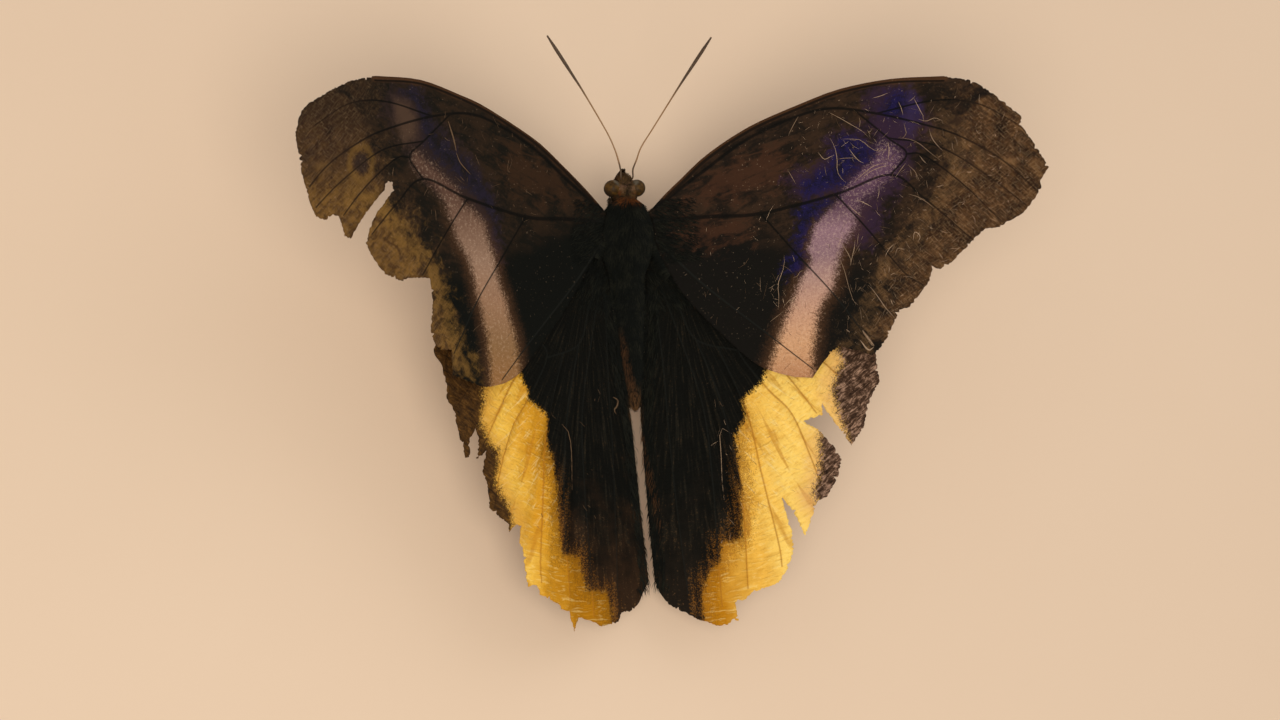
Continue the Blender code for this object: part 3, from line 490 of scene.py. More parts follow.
def straight_path(points, step):
    """Points no more than one step apart on straight runs, every given point kept."""
    points = np.asarray(points, float)
    runs = []
    for start, end in zip(points, points[1:]):
        count = max(1, math.ceil(np.linalg.norm(end - start) / step))
        runs.append(start + (end - start) * (np.arange(count) / count)[:, None])
    return np.vstack([*runs, points[-1:]])


def distance_to_path(points, path):
    """Each point's distance to a path, and the share of the path passed at the nearest place."""
    nearest = np.full(len(points), np.inf)
    share = np.zeros(len(points))
    for index, (start, end) in enumerate(zip(path, path[1:])):
        along = end - start
        t = np.clip((points - start) @ along / max(along @ along, 1e-9), 0.0, 1.0)
        gap = np.linalg.norm(points - start - t[:, None] * along, axis=1)
        nearer = gap < nearest
        nearest[nearer] = gap[nearer]
        share[nearer] = (index + t[nearer]) / (len(path) - 1)
    return nearest, share


def inside(points, outline):
    hit = np.zeros(len(points), bool)
    for (ax, ay), (bx, by) in zip(outline, np.roll(outline, -1, axis=0)):
        crosses = (ay > points[:, 1]) != (by > points[:, 1])
        rise = by - ay if by != ay else 1e-9
        hit ^= crosses & (points[:, 0] < ax + (points[:, 1] - ay) / rise * (bx - ax))
    return hit


def depth_inside(points, outline):
    """Distance to a closed outline, positive inside it and negative outside."""
    outline = np.asarray(outline, float)
    gap, _ = distance_to_path(points, np.vstack([outline, outline[:1]]))
    return np.where(inside(points, outline), gap, -gap)


class Paint:
    """One material's node tree, built with short calls that take numbers, colours or sockets."""

    def __init__(self, name, roughness=0.6, specular=0.3, coat=0.0):
        self.material = bpy.data.materials.new(name)
        self.material.use_nodes = True
        self.tree = self.material.node_tree
        self.shader = self.tree.nodes["Principled BSDF"]
        for socket, value in (
            ("Roughness", roughness), ("Specular IOR Level", specular), ("Coat Weight", coat),
        ):
            self.shader.inputs[socket].default_value = value

    def node(self, kind, sockets, output=0, **settings):
        made = self.tree.nodes.new("ShaderNode" + kind)
        for key, value in settings.items():
            setattr(made, key, value)
        for key, value in sockets.items():
            if isinstance(value, bpy.types.NodeSocket):
                self.tree.links.new(value, made.inputs[key])
            else:
                made.inputs[key].default_value = value
        return made.outputs[output]

    def attribute(self, name, output="Fac"):
        return self.node("Attribute", {}, output, attribute_name=name)

    def parts(self, vector):
        return tuple(self.node("SeparateXYZ", {0: vector}).node.outputs)

    def maths(self, operation, first, second=0.0):
        return self.node("Math", {0: first, 1: second}, operation=operation)

    def add(self, *values):
        total = values[0]
        for value in values[1:]:
            total = self.maths("ADD", total, value)
        return total

    def weighed(self, *pairs):
        """The sum of values, each given with its weight."""
        return self.add(*[self.times(value, weight) for value, weight in zip(pairs[::2], pairs[1::2])])

    def times(self, *values):
        total = values[0]
        for value in values[1:]:
            total = self.maths("MULTIPLY", total, value)
        return total

    def size(self, value):
        return self.maths("ABSOLUTE", value)

    def around(self, value, reach):
        """A pattern of 0 to 1 turned into one from minus to plus the reach."""
        return self.times(self.maths("SUBTRACT", value, 0.5), 2 * reach)

    def ragged(self, value, *pairs):
        """A value, or a stored one by its name, disturbed by patterns given with their reach."""
        if isinstance(value, str):
            value = self.attribute(value)
        return self.add(value, *[self.around(*pair) for pair in zip(pairs[::2], pairs[1::2])])

    def step(self, value, low, high):
        """Smooth rise from 0 to 1 as the value goes from low to high."""
        sockets = {"Value": value, "From Min": low, "From Max": high}
        return self.node("MapRange", sockets, interpolation_type="SMOOTHSTEP")

    def turned(self, where, heading, length, width):
        """Coordinates in which a pattern's features are drawn out along a heading in degrees."""
        sockets = {
            "Vector": where, "Rotation": (0.0, 0.0, math.radians(heading)), "Scale": (length, width, 1.0),
        }
        return self.node("Mapping", sockets, vector_type="TEXTURE")

    def noise(self, where, scale, detail=3.0, roughness=0.55, distortion=0.0):
        return self.node("TexNoise", {
            "Vector": where, "Scale": scale, "Detail": detail, "Roughness": roughness,
            "Distortion": distortion,
        })

    def drawn(self, where, heading, length, width, detail=3.0, roughness=0.55, distortion=0.0):
        """Noise drawn out along a heading."""
        return self.noise(self.turned(where, heading, length, width), 1.0, detail, roughness, distortion)

    def cells(self, where, scale, output="Color"):
        """A random value for each small cell, about the size of a scale."""
        return self.node("TexVoronoi", {"Vector": where, "Scale": scale}, output)

    def mix(self, factor, below, above, blend="MIX"):
        return self.node("Mix", {0: factor, 6: below, 7: above}, 2, data_type="RGBA", blend_type=blend)

    def over(self, below, above, value, low, high, share=None):
        """A colour laid over another as the value goes from low to high, up to a share of it."""
        factor = self.step(value, low, high)
        return self.mix(factor if share is None else self.times(factor, share), below, above)

    def ramp(self, value, places):
        made = self.tree.nodes.new("ShaderNodeValToRGB")
        self.tree.links.new(value, made.inputs[0])
        elements = made.color_ramp.elements
        while len(elements) < len(places):
            elements.new(0.5)
        for element, (place, colour) in zip(elements, places):
            element.position = place
            element.color = colour
        return made.outputs[0]

    def finish(self, colour, height, height_mm, strength):
        self.tree.links.new(colour, self.shader.inputs["Base Color"])
        bump = self.node("Bump", {"Strength": strength, "Distance": height_mm * MM, "Height": height})
        self.tree.links.new(bump, self.shader.inputs["Normal"])
        return self.material


# Colours of the upper sides, duskier on the left wings than on the right ones: the left wings' darker
# copies are painted shade, and the right forewing's stronger purple is painted iridescent sheen
ForeLook = namedtuple(
    "ForeLook",
    "ground warm rust rear plum dusk indigo eaten band worn worn_from ochre chain chain_top spot ring "
    "patch lobe apex soft grain",
)
FORE_LOOKS = {
    1: ForeLook(
        ground=srgb(27, 21, 16), warm=srgb(52, 37, 26), rust=srgb(64, 40, 27), rear=srgb(19, 17, 14),
        plum=srgb(48, 32, 51), dusk=srgb(18, 16, 34), indigo=srgb(29, 24, 66), eaten=1.3,
        # The right band's front stops turn purple: painted iridescent sheen
        band=stops(
            "0 176 122 84, 0.17 208 158 118, 0.3 196 150 124, 0.43 172 136 126, 0.53 138 108 116, "
            "0.63 142 110 122, 0.73 84 59 77, 0.87 92 65 88, 1 56 39 64"
        ),
        worn=stops("0.39 24 17 12, 0.46 44 30 19, 0.55 69 46 27, 0.66 112 82 52"),
        worn_from=5.2, ochre=srgb(120, 90, 58), chain=0.34, chain_top=15.0, spot=0.3, ring=0.2,
        patch=srgb(52, 40, 70), lobe=0.0, apex=0.0, soft=1.0, grain=0.22,
    ),
    -1: ForeLook(
        ground=srgb(23, 20, 15), warm=srgb(44, 32, 22), rust=srgb(54, 36, 23), rear=srgb(14, 15, 12),
        plum=srgb(46, 34, 33), dusk=srgb(22, 20, 22), indigo=srgb(34, 29, 42), eaten=0.0,
        band=stops(
            "0 148 104 62, 0.2 138 104 70, 0.38 152 116 90, 0.53 148 118 98, 0.67 118 90 74, "
            "0.8 84 60 50, 1 88 65 53"
        ),
        worn=stops("0.37 34 24 17, 0.46 48 33 22, 0.55 66 46 27, 0.68 92 68 38"),
        worn_from=2.8, ochre=srgb(124, 92, 44), chain=0.6, chain_top=1.5, spot=0.6, ring=0.4,
        patch=srgb(82, 62, 48), lobe=0.6, apex=0.72, soft=0.6, grain=0.12,
    ),
}
HindLook = namedtuple("HindLook", "lemon yolk amber strip tail torn near_margin amber_from")
# Painted shade: the left hindwing's yellows are darker copies of the right one's
HIND_LOOKS = {
    1: HindLook(
        lemon=srgb(252, 210, 106), yolk=srgb(238, 184, 76), amber=srgb(182, 120, 16),
        strip=srgb(140, 90, 24), tail=srgb(34, 27, 20),
        torn=stops("0.38 38 26 19, 0.5 78 56 42, 0.61 168 134 112"),
        near_margin=srgb(226, 172, 108), amber_from=1.93,
    ),
    -1: HindLook(
        lemon=srgb(240, 192, 80), yolk=srgb(214, 154, 40), amber=srgb(168, 111, 12),
        strip=srgb(118, 78, 16), tail=srgb(56, 38, 24),
        torn=stops("0.38 40 27 16, 0.53 76 51 24, 0.66 112 78 38"),
        near_margin=srgb(204, 146, 60), amber_from=2.2,
    ),
}
BAND_LOW_V, BAND_HIGH_V = -36.0, 9.0
SCALE_CELLS, SPECK_CELLS = 8.0, 6.0
RAY_HEADING, HIND_GRAIN_HEADING = -42.0, -80.0
SIDE_NAMES = {1: "right", -1: "left"}
VEIN_BLACK, VEIN_GREY, VEIN_BROWN = srgb(12, 11, 9), srgb(28, 29, 26), srgb(38, 28, 19)
RUBBED = srgb(176, 150, 122)
OCHRE_DARK, OCHRE_LIGHT = srgb(74, 50, 25), srgb(132, 96, 46)
APEX_BROWN = srgb(38, 27, 18)
STROKE_BUFF = srgb(140, 112, 82)
BAND_LIGHT, BAND_DARK, BAND_HALO = srgb(232, 204, 176), srgb(84, 58, 48), srgb(84, 56, 36)
SPOT_DARK = srgb(34, 28, 29)
COSTA_BROWN = srgb(86, 56, 34)
HIND_BLACK, HIND_STREAK, HIND_FLECK = srgb(13, 13, 10), srgb(28, 26, 20), srgb(120, 88, 56)
# Painted highlight on the yellow's ripple crests and painted shade in their troughs
RIPPLE_HIGHLIGHT, RIPPLE_SHADE = srgb(255, 230, 150), srgb(202, 142, 40)
WORN_YELLOW = srgb(255, 234, 168)
# Painted shade in the yellow's creases, and the brown of its scale grain
CREASE_SHADE, SCALE_BROWN = srgb(186, 122, 28), srgb(190, 138, 60)
# Painted shade in the folds beside the veins, and the veins' own amber
FOLD_SHADE, YELLOW_VEIN = srgb(188, 126, 34), srgb(166, 106, 30)
SPECKLE_ORANGE = srgb(150, 96, 32)
UNDER_STOPS = stops("0.38 58 40 30, 0.48 118 84 56, 0.6 206 184 150")
UNDER_BROWN = srgb(118, 84, 56)
UNDER_GLINT = srgb(190, 186, 190)
UNDER_RINGS = {
    "fore": [((60.6, 2.5), 2.6), ((52.0, 9.0), 1.6)],
    "hind": [((24.0, -38.0), 6.4), ((26.0, -20.0), 2.4)],
}
UNDER_VEIN = srgb(84, 60, 42)
RING_COLOURS = ((1.0, srgb(58, 40, 30)), (0.86, srgb(214, 166, 72)), (0.66, srgb(24, 18, 18)))
SCRATCH_STOPS = stops("0 58 44 33, 0.45 112 88 66, 1 208 178 148")
WING_ROUGHNESS, WING_SPECULAR = 0.8, 0.06


def wing_paint(name, heading):
    """The start of a wing's material: its plan, and a random value for each tiny long scale."""
    paint = Paint(name, WING_ROUGHNESS, WING_SPECULAR)
    plan = paint.attribute("plan", "Vector")
    return paint, plan, paint.cells(paint.turned(plan, heading, 1.5, 0.9), SCALE_CELLS)


def forewing_upper(side):
    """Near black and rust, a zone of painted purple iridescent sheen, the pale band, and the worn brown
    outer third.
    """
    look = FORE_LOOKS[side]
    paint, plan, grain = wing_paint("forewing_upper_" + SIDE_NAMES[side], RAY_HEADING)
    _, v, _ = paint.parts(plan)
    over, ragged, step = paint.over, paint.ragged, paint.step
    fine = paint.noise(plan, 1.7, 5.0, 0.65)
    cloud = paint.noise(plan, 0.17, 4.0, 0.6)
    blots = paint.noise(plan, 0.5, 6.0, 0.62, 0.8)
    broad = paint.noise(plan, 0.27, 6.0, 0.6, 0.6)
    streaks = paint.drawn(plan, 14.0, 4.2, 1.3, 6.0, 0.65, 0.7)
    rays = paint.drawn(plan, RAY_HEADING, 6.0, 0.6, 4.0, 0.6, 0.3)
    strokes = paint.maths(
        "MAXIMUM",
        paint.drawn(plan, 32.0, 1.5, 0.15, 3.0, 0.55, 0.4),
        paint.drawn(plan, -52.0, 1.8, 0.15, 3.0, 0.55, 0.4),
    )

    brown = ragged(paint.weighed(cloud, 0.5, streaks, 0.5), fine, 0.1)
    colour = over(look.ground, look.warm, brown, 0.42, 0.6)
    rear = ragged("rear", cloud, 5.0, fine, 2.0)
    colour = over(colour, look.rear, rear, -4.0, 3.0)
    colour = over(colour, look.rust, ragged("rust", streaks, 8.0, blots, 5.0), -1.0, 4.5, 0.75)

    beyond = paint.attribute("beyond")
    mottle = ragged(paint.weighed(broad, 0.5, rays, 0.28, fine, 0.22), grain, 0.02)
    worn = paint.ramp(paint.add(mottle, paint.times(step(beyond, 4.0, 22.0), 0.03)), look.worn)
    ochres = over(OCHRE_DARK, OCHRE_LIGHT, ragged(blots, rays, 0.2), 0.34, 0.64)
    lobe = paint.times(step(v, 3.0, -6.0), step(beyond, 5.0, 11.0), look.lobe)
    worn = paint.mix(lobe, worn, ochres)
    worn = over(worn, APEX_BROWN, ragged(v, broad, 8.0), 5.0, 12.0, look.apex)
    worn = over(worn, STROKE_BUFF, strokes, 0.54, 0.68, 0.55 * look.soft)
    edge = ragged(beyond, fine, 3.0, broad, 10.0)
    colour = over(colour, worn, edge, look.worn_from, look.worn_from + 7.5)
    chain = paint.times(paint.attribute("chain"), -1.0)
    chain = ragged(chain, blots, 6.0, broad, 6.0, strokes, 2.0, grain, 0.3)
    chain_ends = step(v, look.chain_top, look.chain_top - 6.0)
    fibres = paint.add(paint.times(step(strokes, 0.4, 0.58), look.soft), 1.0 - look.soft)
    chain = paint.times(step(chain, -3.6, 1.2), chain_ends, fibres, look.chain)
    colour = paint.mix(chain, colour, look.ochre)

    # Painted iridescent sheen: purple, deep blue and the upper patch's colour laid on as base colour,
    # strongest on the right forewing
    colour = over(colour, look.plum, ragged("violet_sheen", blots, 5.0, fine, 1.6), -2.6, 1.8, 0.9)
    blue = ragged("indigo", blots, 3.0, fine, 1.2)
    deep = over(look.dusk, look.indigo, ragged(blots, grain, 0.12), 0.36, 0.62)
    colour = over(colour, deep, blue, -1.6, 1.1, 0.96)
    colour = over(colour, look.patch, ragged("patch", fine, 1.0, blots, 1.5), -1.4, 1.4, 0.7)

    place = paint.node("MapRange", {"Value": v, "From Min": BAND_LOW_V, "From Max": BAND_HIGH_V})
    light = ragged(fine, grain, look.grain)
    band = over(paint.ramp(place, look.band), BAND_LIGHT, light, 0.52, 0.72, 0.22)
    band = over(band, BAND_DARK, light, 0.46, 0.3, 0.22)
    # The painted blue sheen eats into the pale band, on the right forewing only
    eaten = paint.times(step(blue, -1.4, 0.4), -look.eaten)
    pale = paint.add(ragged("pale", fine, 1.0, grain, 0.7), eaten)
    halo = paint.times(step(pale, -2.6, 0.4), step(v, 2.0, -14.0), 0.5)
    colour = paint.mix(halo, colour, BAND_HALO)
    colour = over(colour, band, pale, -0.2, 1.9, 0.97)

    spot = ragged("spot", fine, 0.8, blots, 0.8)
    colour = over(colour, look.ochre, paint.size(paint.add(spot, -2.5)), 1.1, 0.1, look.ring)
    colour = over(colour, SPOT_DARK, spot, 2.0, 1.0, look.spot)

    colour = over(colour, COSTA_BROWN, ragged("costa", streaks, 0.8), 1.3, 0.5, 0.6)
    specks = step(paint.cells(plan, SPECK_CELLS), 0.84, 0.9)
    specks = paint.times(specks, step(ragged(fine, blots, 0.3), 0.5, 0.7), 0.4 * look.soft)
    colour = paint.mix(specks, colour, RUBBED)
    vein_colour = over(VEIN_BLACK, VEIN_GREY, rear, -1.0, 4.0, 0.8)
    vein_colour = over(vein_colour, VEIN_BROWN, beyond, 4.0, 12.0, 0.8)
    colour = over(colour, vein_colour, paint.attribute("vein"), 1.25, 0.5, 0.85)
    height = paint.add(paint.times(grain, 0.35), fine, paint.times(rays, 0.8))
    return paint.finish(colour, height, 0.08, 0.6)


def hindwing_upper(side):
    """Near black with a yellow field, speckled where they meet, and a dark torn margin; the yellow's
    ripples, creases and folds by the veins carry painted highlight and painted shade.
    """
    look = HIND_LOOKS[side]
    paint, plan, grain = wing_paint("hindwing_upper_" + SIDE_NAMES[side], HIND_GRAIN_HEADING)
    u, v, _ = paint.parts(plan)
    over, ragged, step = paint.over, paint.ragged, paint.step
    fan = paint.attribute("fan", "Vector")
    fine = paint.noise(plan, 1.7, 5.0, 0.65)
    cloud = paint.noise(plan, 0.16, 4.0, 0.6)
    along = paint.drawn(fan, 90.0, 9.0, 0.6, 4.0, 0.6)
    ripples = paint.drawn(fan, 0.0, 1.3, 0.55, 3.0, 0.5, 0.6)
    creases = paint.drawn(fan, 90.0, 11.0, 1.3, 3.0, 0.5, 0.5)
    rubbed = paint.drawn(fan, 74.0, 5.0, 0.5, 4.0, 0.6, 0.8)

    colour = over(HIND_BLACK, HIND_STREAK, along, 0.5, 0.66)
    tail = step(ragged(paint.times(v, -1.0), cloud, 26.0), 44.0, 76.0)
    colour = paint.mix(paint.times(tail, 0.8), colour, look.tail)
    flecks = step(paint.cells(plan, SPECK_CELLS), 0.66, 0.84)
    flecks = paint.times(flecks, step(ragged(along, fine, 0.3), 0.5, 0.68))
    flecks = paint.times(flecks, paint.add(paint.times(tail, 0.55), 0.12))
    colour = paint.mix(flecks, colour, HIND_FLECK)

    field = ragged(paint.weighed(u, -0.075, v, 0.0067), cloud, 0.4)
    field = ragged(paint.add(field, look.amber_from), creases, 0.12)
    yellow = paint.ramp(field, [(0.0, look.lemon), (0.45, look.yolk), (0.95, look.amber)])
    # Painted highlight on the ripples' crests and painted shade in their troughs
    yellow = over(yellow, RIPPLE_HIGHLIGHT, ripples, 0.54, 0.68, 0.3)
    yellow = over(yellow, RIPPLE_SHADE, ripples, 0.46, 0.34, 0.32)
    rubbed_share = paint.times(step(rubbed, 0.56, 0.7), step(v, -60.0, -50.0), 0.4)
    yellow = paint.mix(rubbed_share, yellow, WORN_YELLOW)
    # Painted shade along the creases
    yellow = over(yellow, CREASE_SHADE, creases, 0.44, 0.3, 0.6)
    yellow = over(yellow, SCALE_BROWN, grain, 0.3, 0.1, 0.12)
    edge = ragged("yellow", fine, 0.9, along, 1.0)
    strip = paint.times(step(ragged(edge, grain, 2.0), 2.8, 0.6), step(v, -30.0, -42.0), 0.6)
    yellow = paint.mix(strip, yellow, look.strip)
    near = ragged(edge, paint.cells(plan, SCALE_CELLS), 3.6, along, 2.6)
    near = paint.times(step(near, -0.9, 0.7), step(v, -38.0, -54.0), 0.5)
    colour = paint.mix(near, colour, SPECKLE_ORANGE)
    colour = over(colour, yellow, ragged(edge, grain, 0.5), -0.4, 0.5)

    on_yellow = step(paint.attribute("yellow"), -0.3, 0.5)
    tan = ragged("dark_margin", cloud, 3.0, ripples, 1.5)
    tan = paint.times(step(tan, -4.5, -0.5), on_yellow, 0.6)
    colour = paint.mix(tan, colour, look.near_margin)
    blotches = paint.drawn(plan, 35.0, 2.2, 0.55, 5.0, 0.65, 1.2)
    mottle = ragged(paint.weighed(blotches, 0.6, paint.noise(plan, 0.8, 5.0, 0.6), 0.4), grain, 0.03)
    dark = step(ragged("dark_margin", fine, 1.6, grain, 0.8), -0.9, 0.7)
    colour = paint.mix(dark, colour, paint.ramp(mottle, look.torn))

    vein = paint.attribute("vein")
    bright = paint.times(on_yellow, paint.add(1.0, paint.times(dark, -1.0)))
    # Painted shade in the folds beside the veins on the yellow
    folds = paint.times(step(ragged(vein, fine, 1.2), 2.4, 0.3), bright, 0.35)
    colour = paint.mix(folds, colour, FOLD_SHADE)
    vein_colour = paint.mix(on_yellow, VEIN_GREY, YELLOW_VEIN)
    vein_colour = paint.mix(dark, vein_colour, look.torn[0][1])
    colour = over(colour, vein_colour, vein, 1.2, 0.4, 0.5)
    height = paint.weighed(grain, 0.25, ripples, 3.0, creases, 2.4, rubbed, 1.2, fine, 0.5)
    return paint.finish(colour, height, 0.14, 0.85)


def wing_under(name, rings):
    """Finely rippled browns and creams under a wing, with its ringed eyespots."""
    paint, plan, grain = wing_paint(name, RAY_HEADING)
    ripples = paint.drawn(plan, 70.0, 2.4, 0.6, 4.0, 0.6, 1.4)
    cloud = paint.noise(plan, 0.1, 3.0)
    colour = paint.ramp(paint.ragged(ripples, grain, 0.05, cloud, 0.2), UNDER_STOPS)
    colour = paint.over(colour, UNDER_BROWN, paint.ragged("beyond", cloud, 4.0), 10.0, 18.0, 0.6)
    for centre, radius in rings:
        gap = paint.node("VectorMath", {0: plan, 1: (*centre, 0.0)}, 1, operation="DISTANCE")
        gap = paint.ragged(gap, grain, 0.25)
        for share, ring_colour in RING_COLOURS:
            rim = radius * share
            colour = paint.over(colour, ring_colour, gap, rim + 0.2, rim - 0.2)
        glint = (centre[0] + radius * 0.25, centre[1] + radius * 0.2, 0.0)
        shine = paint.node("VectorMath", {0: plan, 1: glint}, 1, operation="DISTANCE")
        colour = paint.over(colour, UNDER_GLINT, shine, radius * 0.28, radius * 0.1, 0.8)
    colour = paint.over(colour, UNDER_VEIN, paint.attribute("vein"), 1.1, 0.5, 0.7)
    return paint.finish(colour, paint.add(paint.times(grain, 0.5), ripples), 0.05, 0.5)


def scratch_material():
    """Pale rubbed scales and torn skin, a little different on each scratch."""
    paint = Paint("rubbed_scales", WING_ROUGHNESS, WING_SPECULAR)
    fine = paint.noise(paint.attribute("plan", "Vector"), 3.0, 3.0)
    colour = paint.ramp(paint.ragged("tone", fine, 0.2), SCRATCH_STOPS)
    return paint.finish(colour, fine, 0.03, 0.4)


def bent(wing, plan, lift):
    """Points of a wing's surface from their plan and their height above its middle layer."""
    u, v = plan[:, 0], plan[:, 1]
    w = wing.camber(u, v) + lift
    y = v * math.cos(wing.pitch) - w * math.sin(wing.pitch)
    rise = v * math.sin(wing.pitch) + w * math.cos(wing.pitch)
    x = u * math.cos(wing.raised) - rise * math.sin(wing.raised)
    z = u * math.sin(wing.raised) + rise * math.cos(wing.raised)
    return np.stack([wing.side * (wing.base[0] + x), wing.base[1] + y, wing.base[2] + z], axis=1)


def flattened(wing, points):
    """The inverse of `bent`: plan and lift of points on or near a wing."""
    x = wing.side * points[:, 0] - wing.base[0]
    y = points[:, 1] - wing.base[1]
    z = points[:, 2] - wing.base[2]
    u = x * math.cos(wing.raised) + z * math.sin(wing.raised)
    rise = -x * math.sin(wing.raised) + z * math.cos(wing.raised)
    v = y * math.cos(wing.pitch) + rise * math.sin(wing.pitch)
    w = -y * math.sin(wing.pitch) + rise * math.cos(wing.pitch)
    return np.stack([u, v], axis=1), w - wing.camber(u, v)


def packed_outline(name, wing):
    """The plan outline of a packed wing, walked round where its upper face meets its rim."""
    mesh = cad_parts[name].data
    corners = np.empty(len(mesh.vertices) * 3)
    mesh.vertices.foreach_get("co", corners)
    plan, lift = flattened(wing, corners.reshape(-1, 3) / MM - ORIGIN)
    key = [tuple(point) for point in np.round(plan, 3)]
    neighbours = {}
    for face in mesh.polygons:
        upper = [corner for corner in face.vertices if lift[corner] > 0]
        if len(upper) == 2 and len(face.vertices) == 3:
            start, end = key[upper[0]], key[upper[1]]
            neighbours.setdefault(start, []).append(end)
            neighbours.setdefault(end, []).append(start)
    loop = [next(iter(neighbours))]
    before = None
    while len(loop) < 2 or loop[-1] != loop[0]:
        onward = [point for point in neighbours[loop[-1]] if point != before]
        before = loop[-1]
        loop.append(onward[0])
    outline = np.array(loop[:-1])
    u, v = outline.T
    area = np.sum(u * np.roll(v, -1) - v * np.roll(u, -1))
    return outline if area > 0 else outline[::-1]


def is_torn(name, plan):
    """Whether a place on the outline lies on the worn outer margin."""
    u, v = plan.T
    if name.startswith("fore"):
        return (plan - FORE_MARGIN_CORNER) @ np.array(FORE_MARGIN_ACROSS) < 0
    return ((u > HIND_MARGIN_U) & (v < HIND_MARGIN_V)) | (v < HIND_TAIL_V)


def left_of(ahead):
    """Plan directions turned a quarter to the left."""
    return np.stack([-ahead[..., 1], ahead[..., 0]], axis=-1)


def frayed(name, outline, random):
    """The outline in small steps, its worn margin bitten inwards by fine teeth."""
    fine = straight_path(np.vstack([outline, outline[:1]]), EDGE_STEP)[:-1]
    inwards = left_of(unit(np.roll(fine, -1, axis=0) - np.roll(fine, 1, axis=0)))
    bite = random.random(len(fine)) ** 2 * EDGE_BITE
    deep = random.random(len(fine)) < DEEP_SHARE
    bite[deep] += random.random(deep.sum()) * DEEP_BITE
    return fine + inwards * (bite * is_torn(name, fine))[:, None]


def beside(path, offset):
    return path + left_of(unit(np.gradient(path, axis=0))) * np.reshape(offset, (-1, 1))


def vein_lines(name, wing, outline):
    """Each vein as a fine path with its half width along it, where it lies inside the outline."""
    veins = HIND_VEINS
    if name.startswith("fore"):
        veins = [*FORE_VEINS, Vein(beside(np.array(FORE_FRONT[1]), -COSTA_INSET), 0.4, 0.2)]
    lines = []
    for vein in veins:
        points = np.array(vein.path, float)
        if wing.side < 0 and name.startswith("fore"):
            ahead = points[:, 1] > 0
            fit = [np.interp(points[:, 0], *np.array(FORE_FRONT[side]).T) for side in (-1, 1)]
            points[ahead, 1] *= (fit[0] / fit[1])[ahead]
        path = smooth_path(points, VEIN_STEP)
        width = np.linspace(vein.start, vein.end, len(path))
        kept = depth_inside(path, outline) > CLEAR_OF_EDGE + 0.1
        first = int(np.argmax(kept))
        last = first + int(np.argmin(kept[first:])) if not kept[first:].all() else len(path)
        if last - first > 2:
            lines.append((path[first:last], width[first:last]))
    return lines


def wing_surface(outline, lines):
    """Plan points and triangles of the membrane, with lines of points along its veins."""
    plan = [outline]
    edges = []
    count = len(outline)
    for path, width in lines:
        for offset in (-1.0, 0.0, 1.0):
            line = beside(path, offset * width) if offset else path
            edges += [(count + k, count + k + 1) for k in range(len(line) - 1)]
            plan.append(line)
            count += len(line)
    low, high = outline.min(axis=0), outline.max(axis=0)
    row_step = GRID_STEP * math.sqrt(0.75)
    rows = np.arange(low[1], high[1], row_step)
    columns = np.arange(low[0], high[0], GRID_STEP)
    u = columns[None, :] + (np.arange(len(rows)) % 2)[:, None] * GRID_STEP / 2
    grid = np.stack([u, np.broadcast_to(rows[:, None], u.shape)], axis=-1).reshape(-1, 2)
    grid = grid[depth_inside(grid, outline) > CLEAR_OF_EDGE]
    for path, width in lines:
        gap, share = distance_to_path(grid, path)
        grid = grid[gap > CLEAR_OF_VEIN + np.interp(share, np.linspace(0, 1, len(width)), width)]
    plan.append(grid)
    border = list(range(len(outline)))
    flat, _, triangles, _, _, _ = delaunay_2d_cdt(
        [Vector(point) for point in np.vstack(plan)], edges, [border], 1, MERGE_WITHIN, False
    )
    flat = np.array([tuple(point) for point in flat])
    triangles = np.array(triangles)
    middle = flat[triangles].mean(axis=1)
    return flat, triangles[inside(middle, outline)]


def nearest_vein(plan, lines):
    """Distance to the nearest vein in half widths, and that vein's half width."""
    ratio = np.full(len(plan), 99.0)
    half = np.zeros(len(plan))
    for path, width in lines:
        gap, share = distance_to_path(plan, path)
        own = np.interp(share, np.linspace(0, 1, len(width)), width)
        nearer = gap / own < ratio
        ratio[nearer] = (gap / own)[nearer]
        half[nearer] = own[nearer]
    return ratio, half


def fan(plan):
    """Distance round and distance out from where the hindwing's folds meet."""
    u, v = (plan - FAN_CENTRE).T
    return np.stack([np.arctan2(u, -v) * FAN_SPREAD, np.hypot(u, v), np.zeros(len(plan))], axis=1)


def relief(name, plan, lines):
    """Height of the folds and the sag between veins, height of the veins, distance to them."""
    ratio, half = nearest_vein(plan, lines)
    t = faded((ratio - 1.0) * half, 0.0, SAG_REACH)
    fold = -SAG * t * t * (3.0 - 2.0 * t)
    u, v = plan.T
    if name.startswith("hind"):
        turn, reach, _ = fan(plan).T
        grow = faded(reach, PLEATS_FROM_REACH, PLEATS_REACH_SPAN) * faded(u, PLEATS_FROM_U, PLEATS_U_SPAN)
        for share, round_turns, out_turns, start in PLEAT_WAVES:
            fold += PLEAT_HEIGHT * grow * share * np.sin(turn * round_turns + reach * out_turns + start)
        fold += CREASE_HEIGHT * grow * np.sin(reach * 3.3 + 2.0 * np.sin(turn * 0.8))
    else:
        outer = faded(u * 0.6 - v * 0.4, RIPPLES_FROM, RIPPLES_SPAN)
        fold += RIPPLE_HEIGHT * outer * np.sin((u * 0.66 + v * 0.75) * 1.3 + 0.5 * np.sin(u * 0.4))
    return fold, VEIN_RISE * half * np.clip(1.0 - ratio, 0.0, 1.0), ratio


def facing_out(wing, faces):
    """Faces made for a right wing, turned over for a left one."""
    return faces if wing.side > 0 else [tuple(reversed(face)) for face in faces]


def flat_vector(plan):
    return np.column_stack([plan, np.zeros(len(plan))])


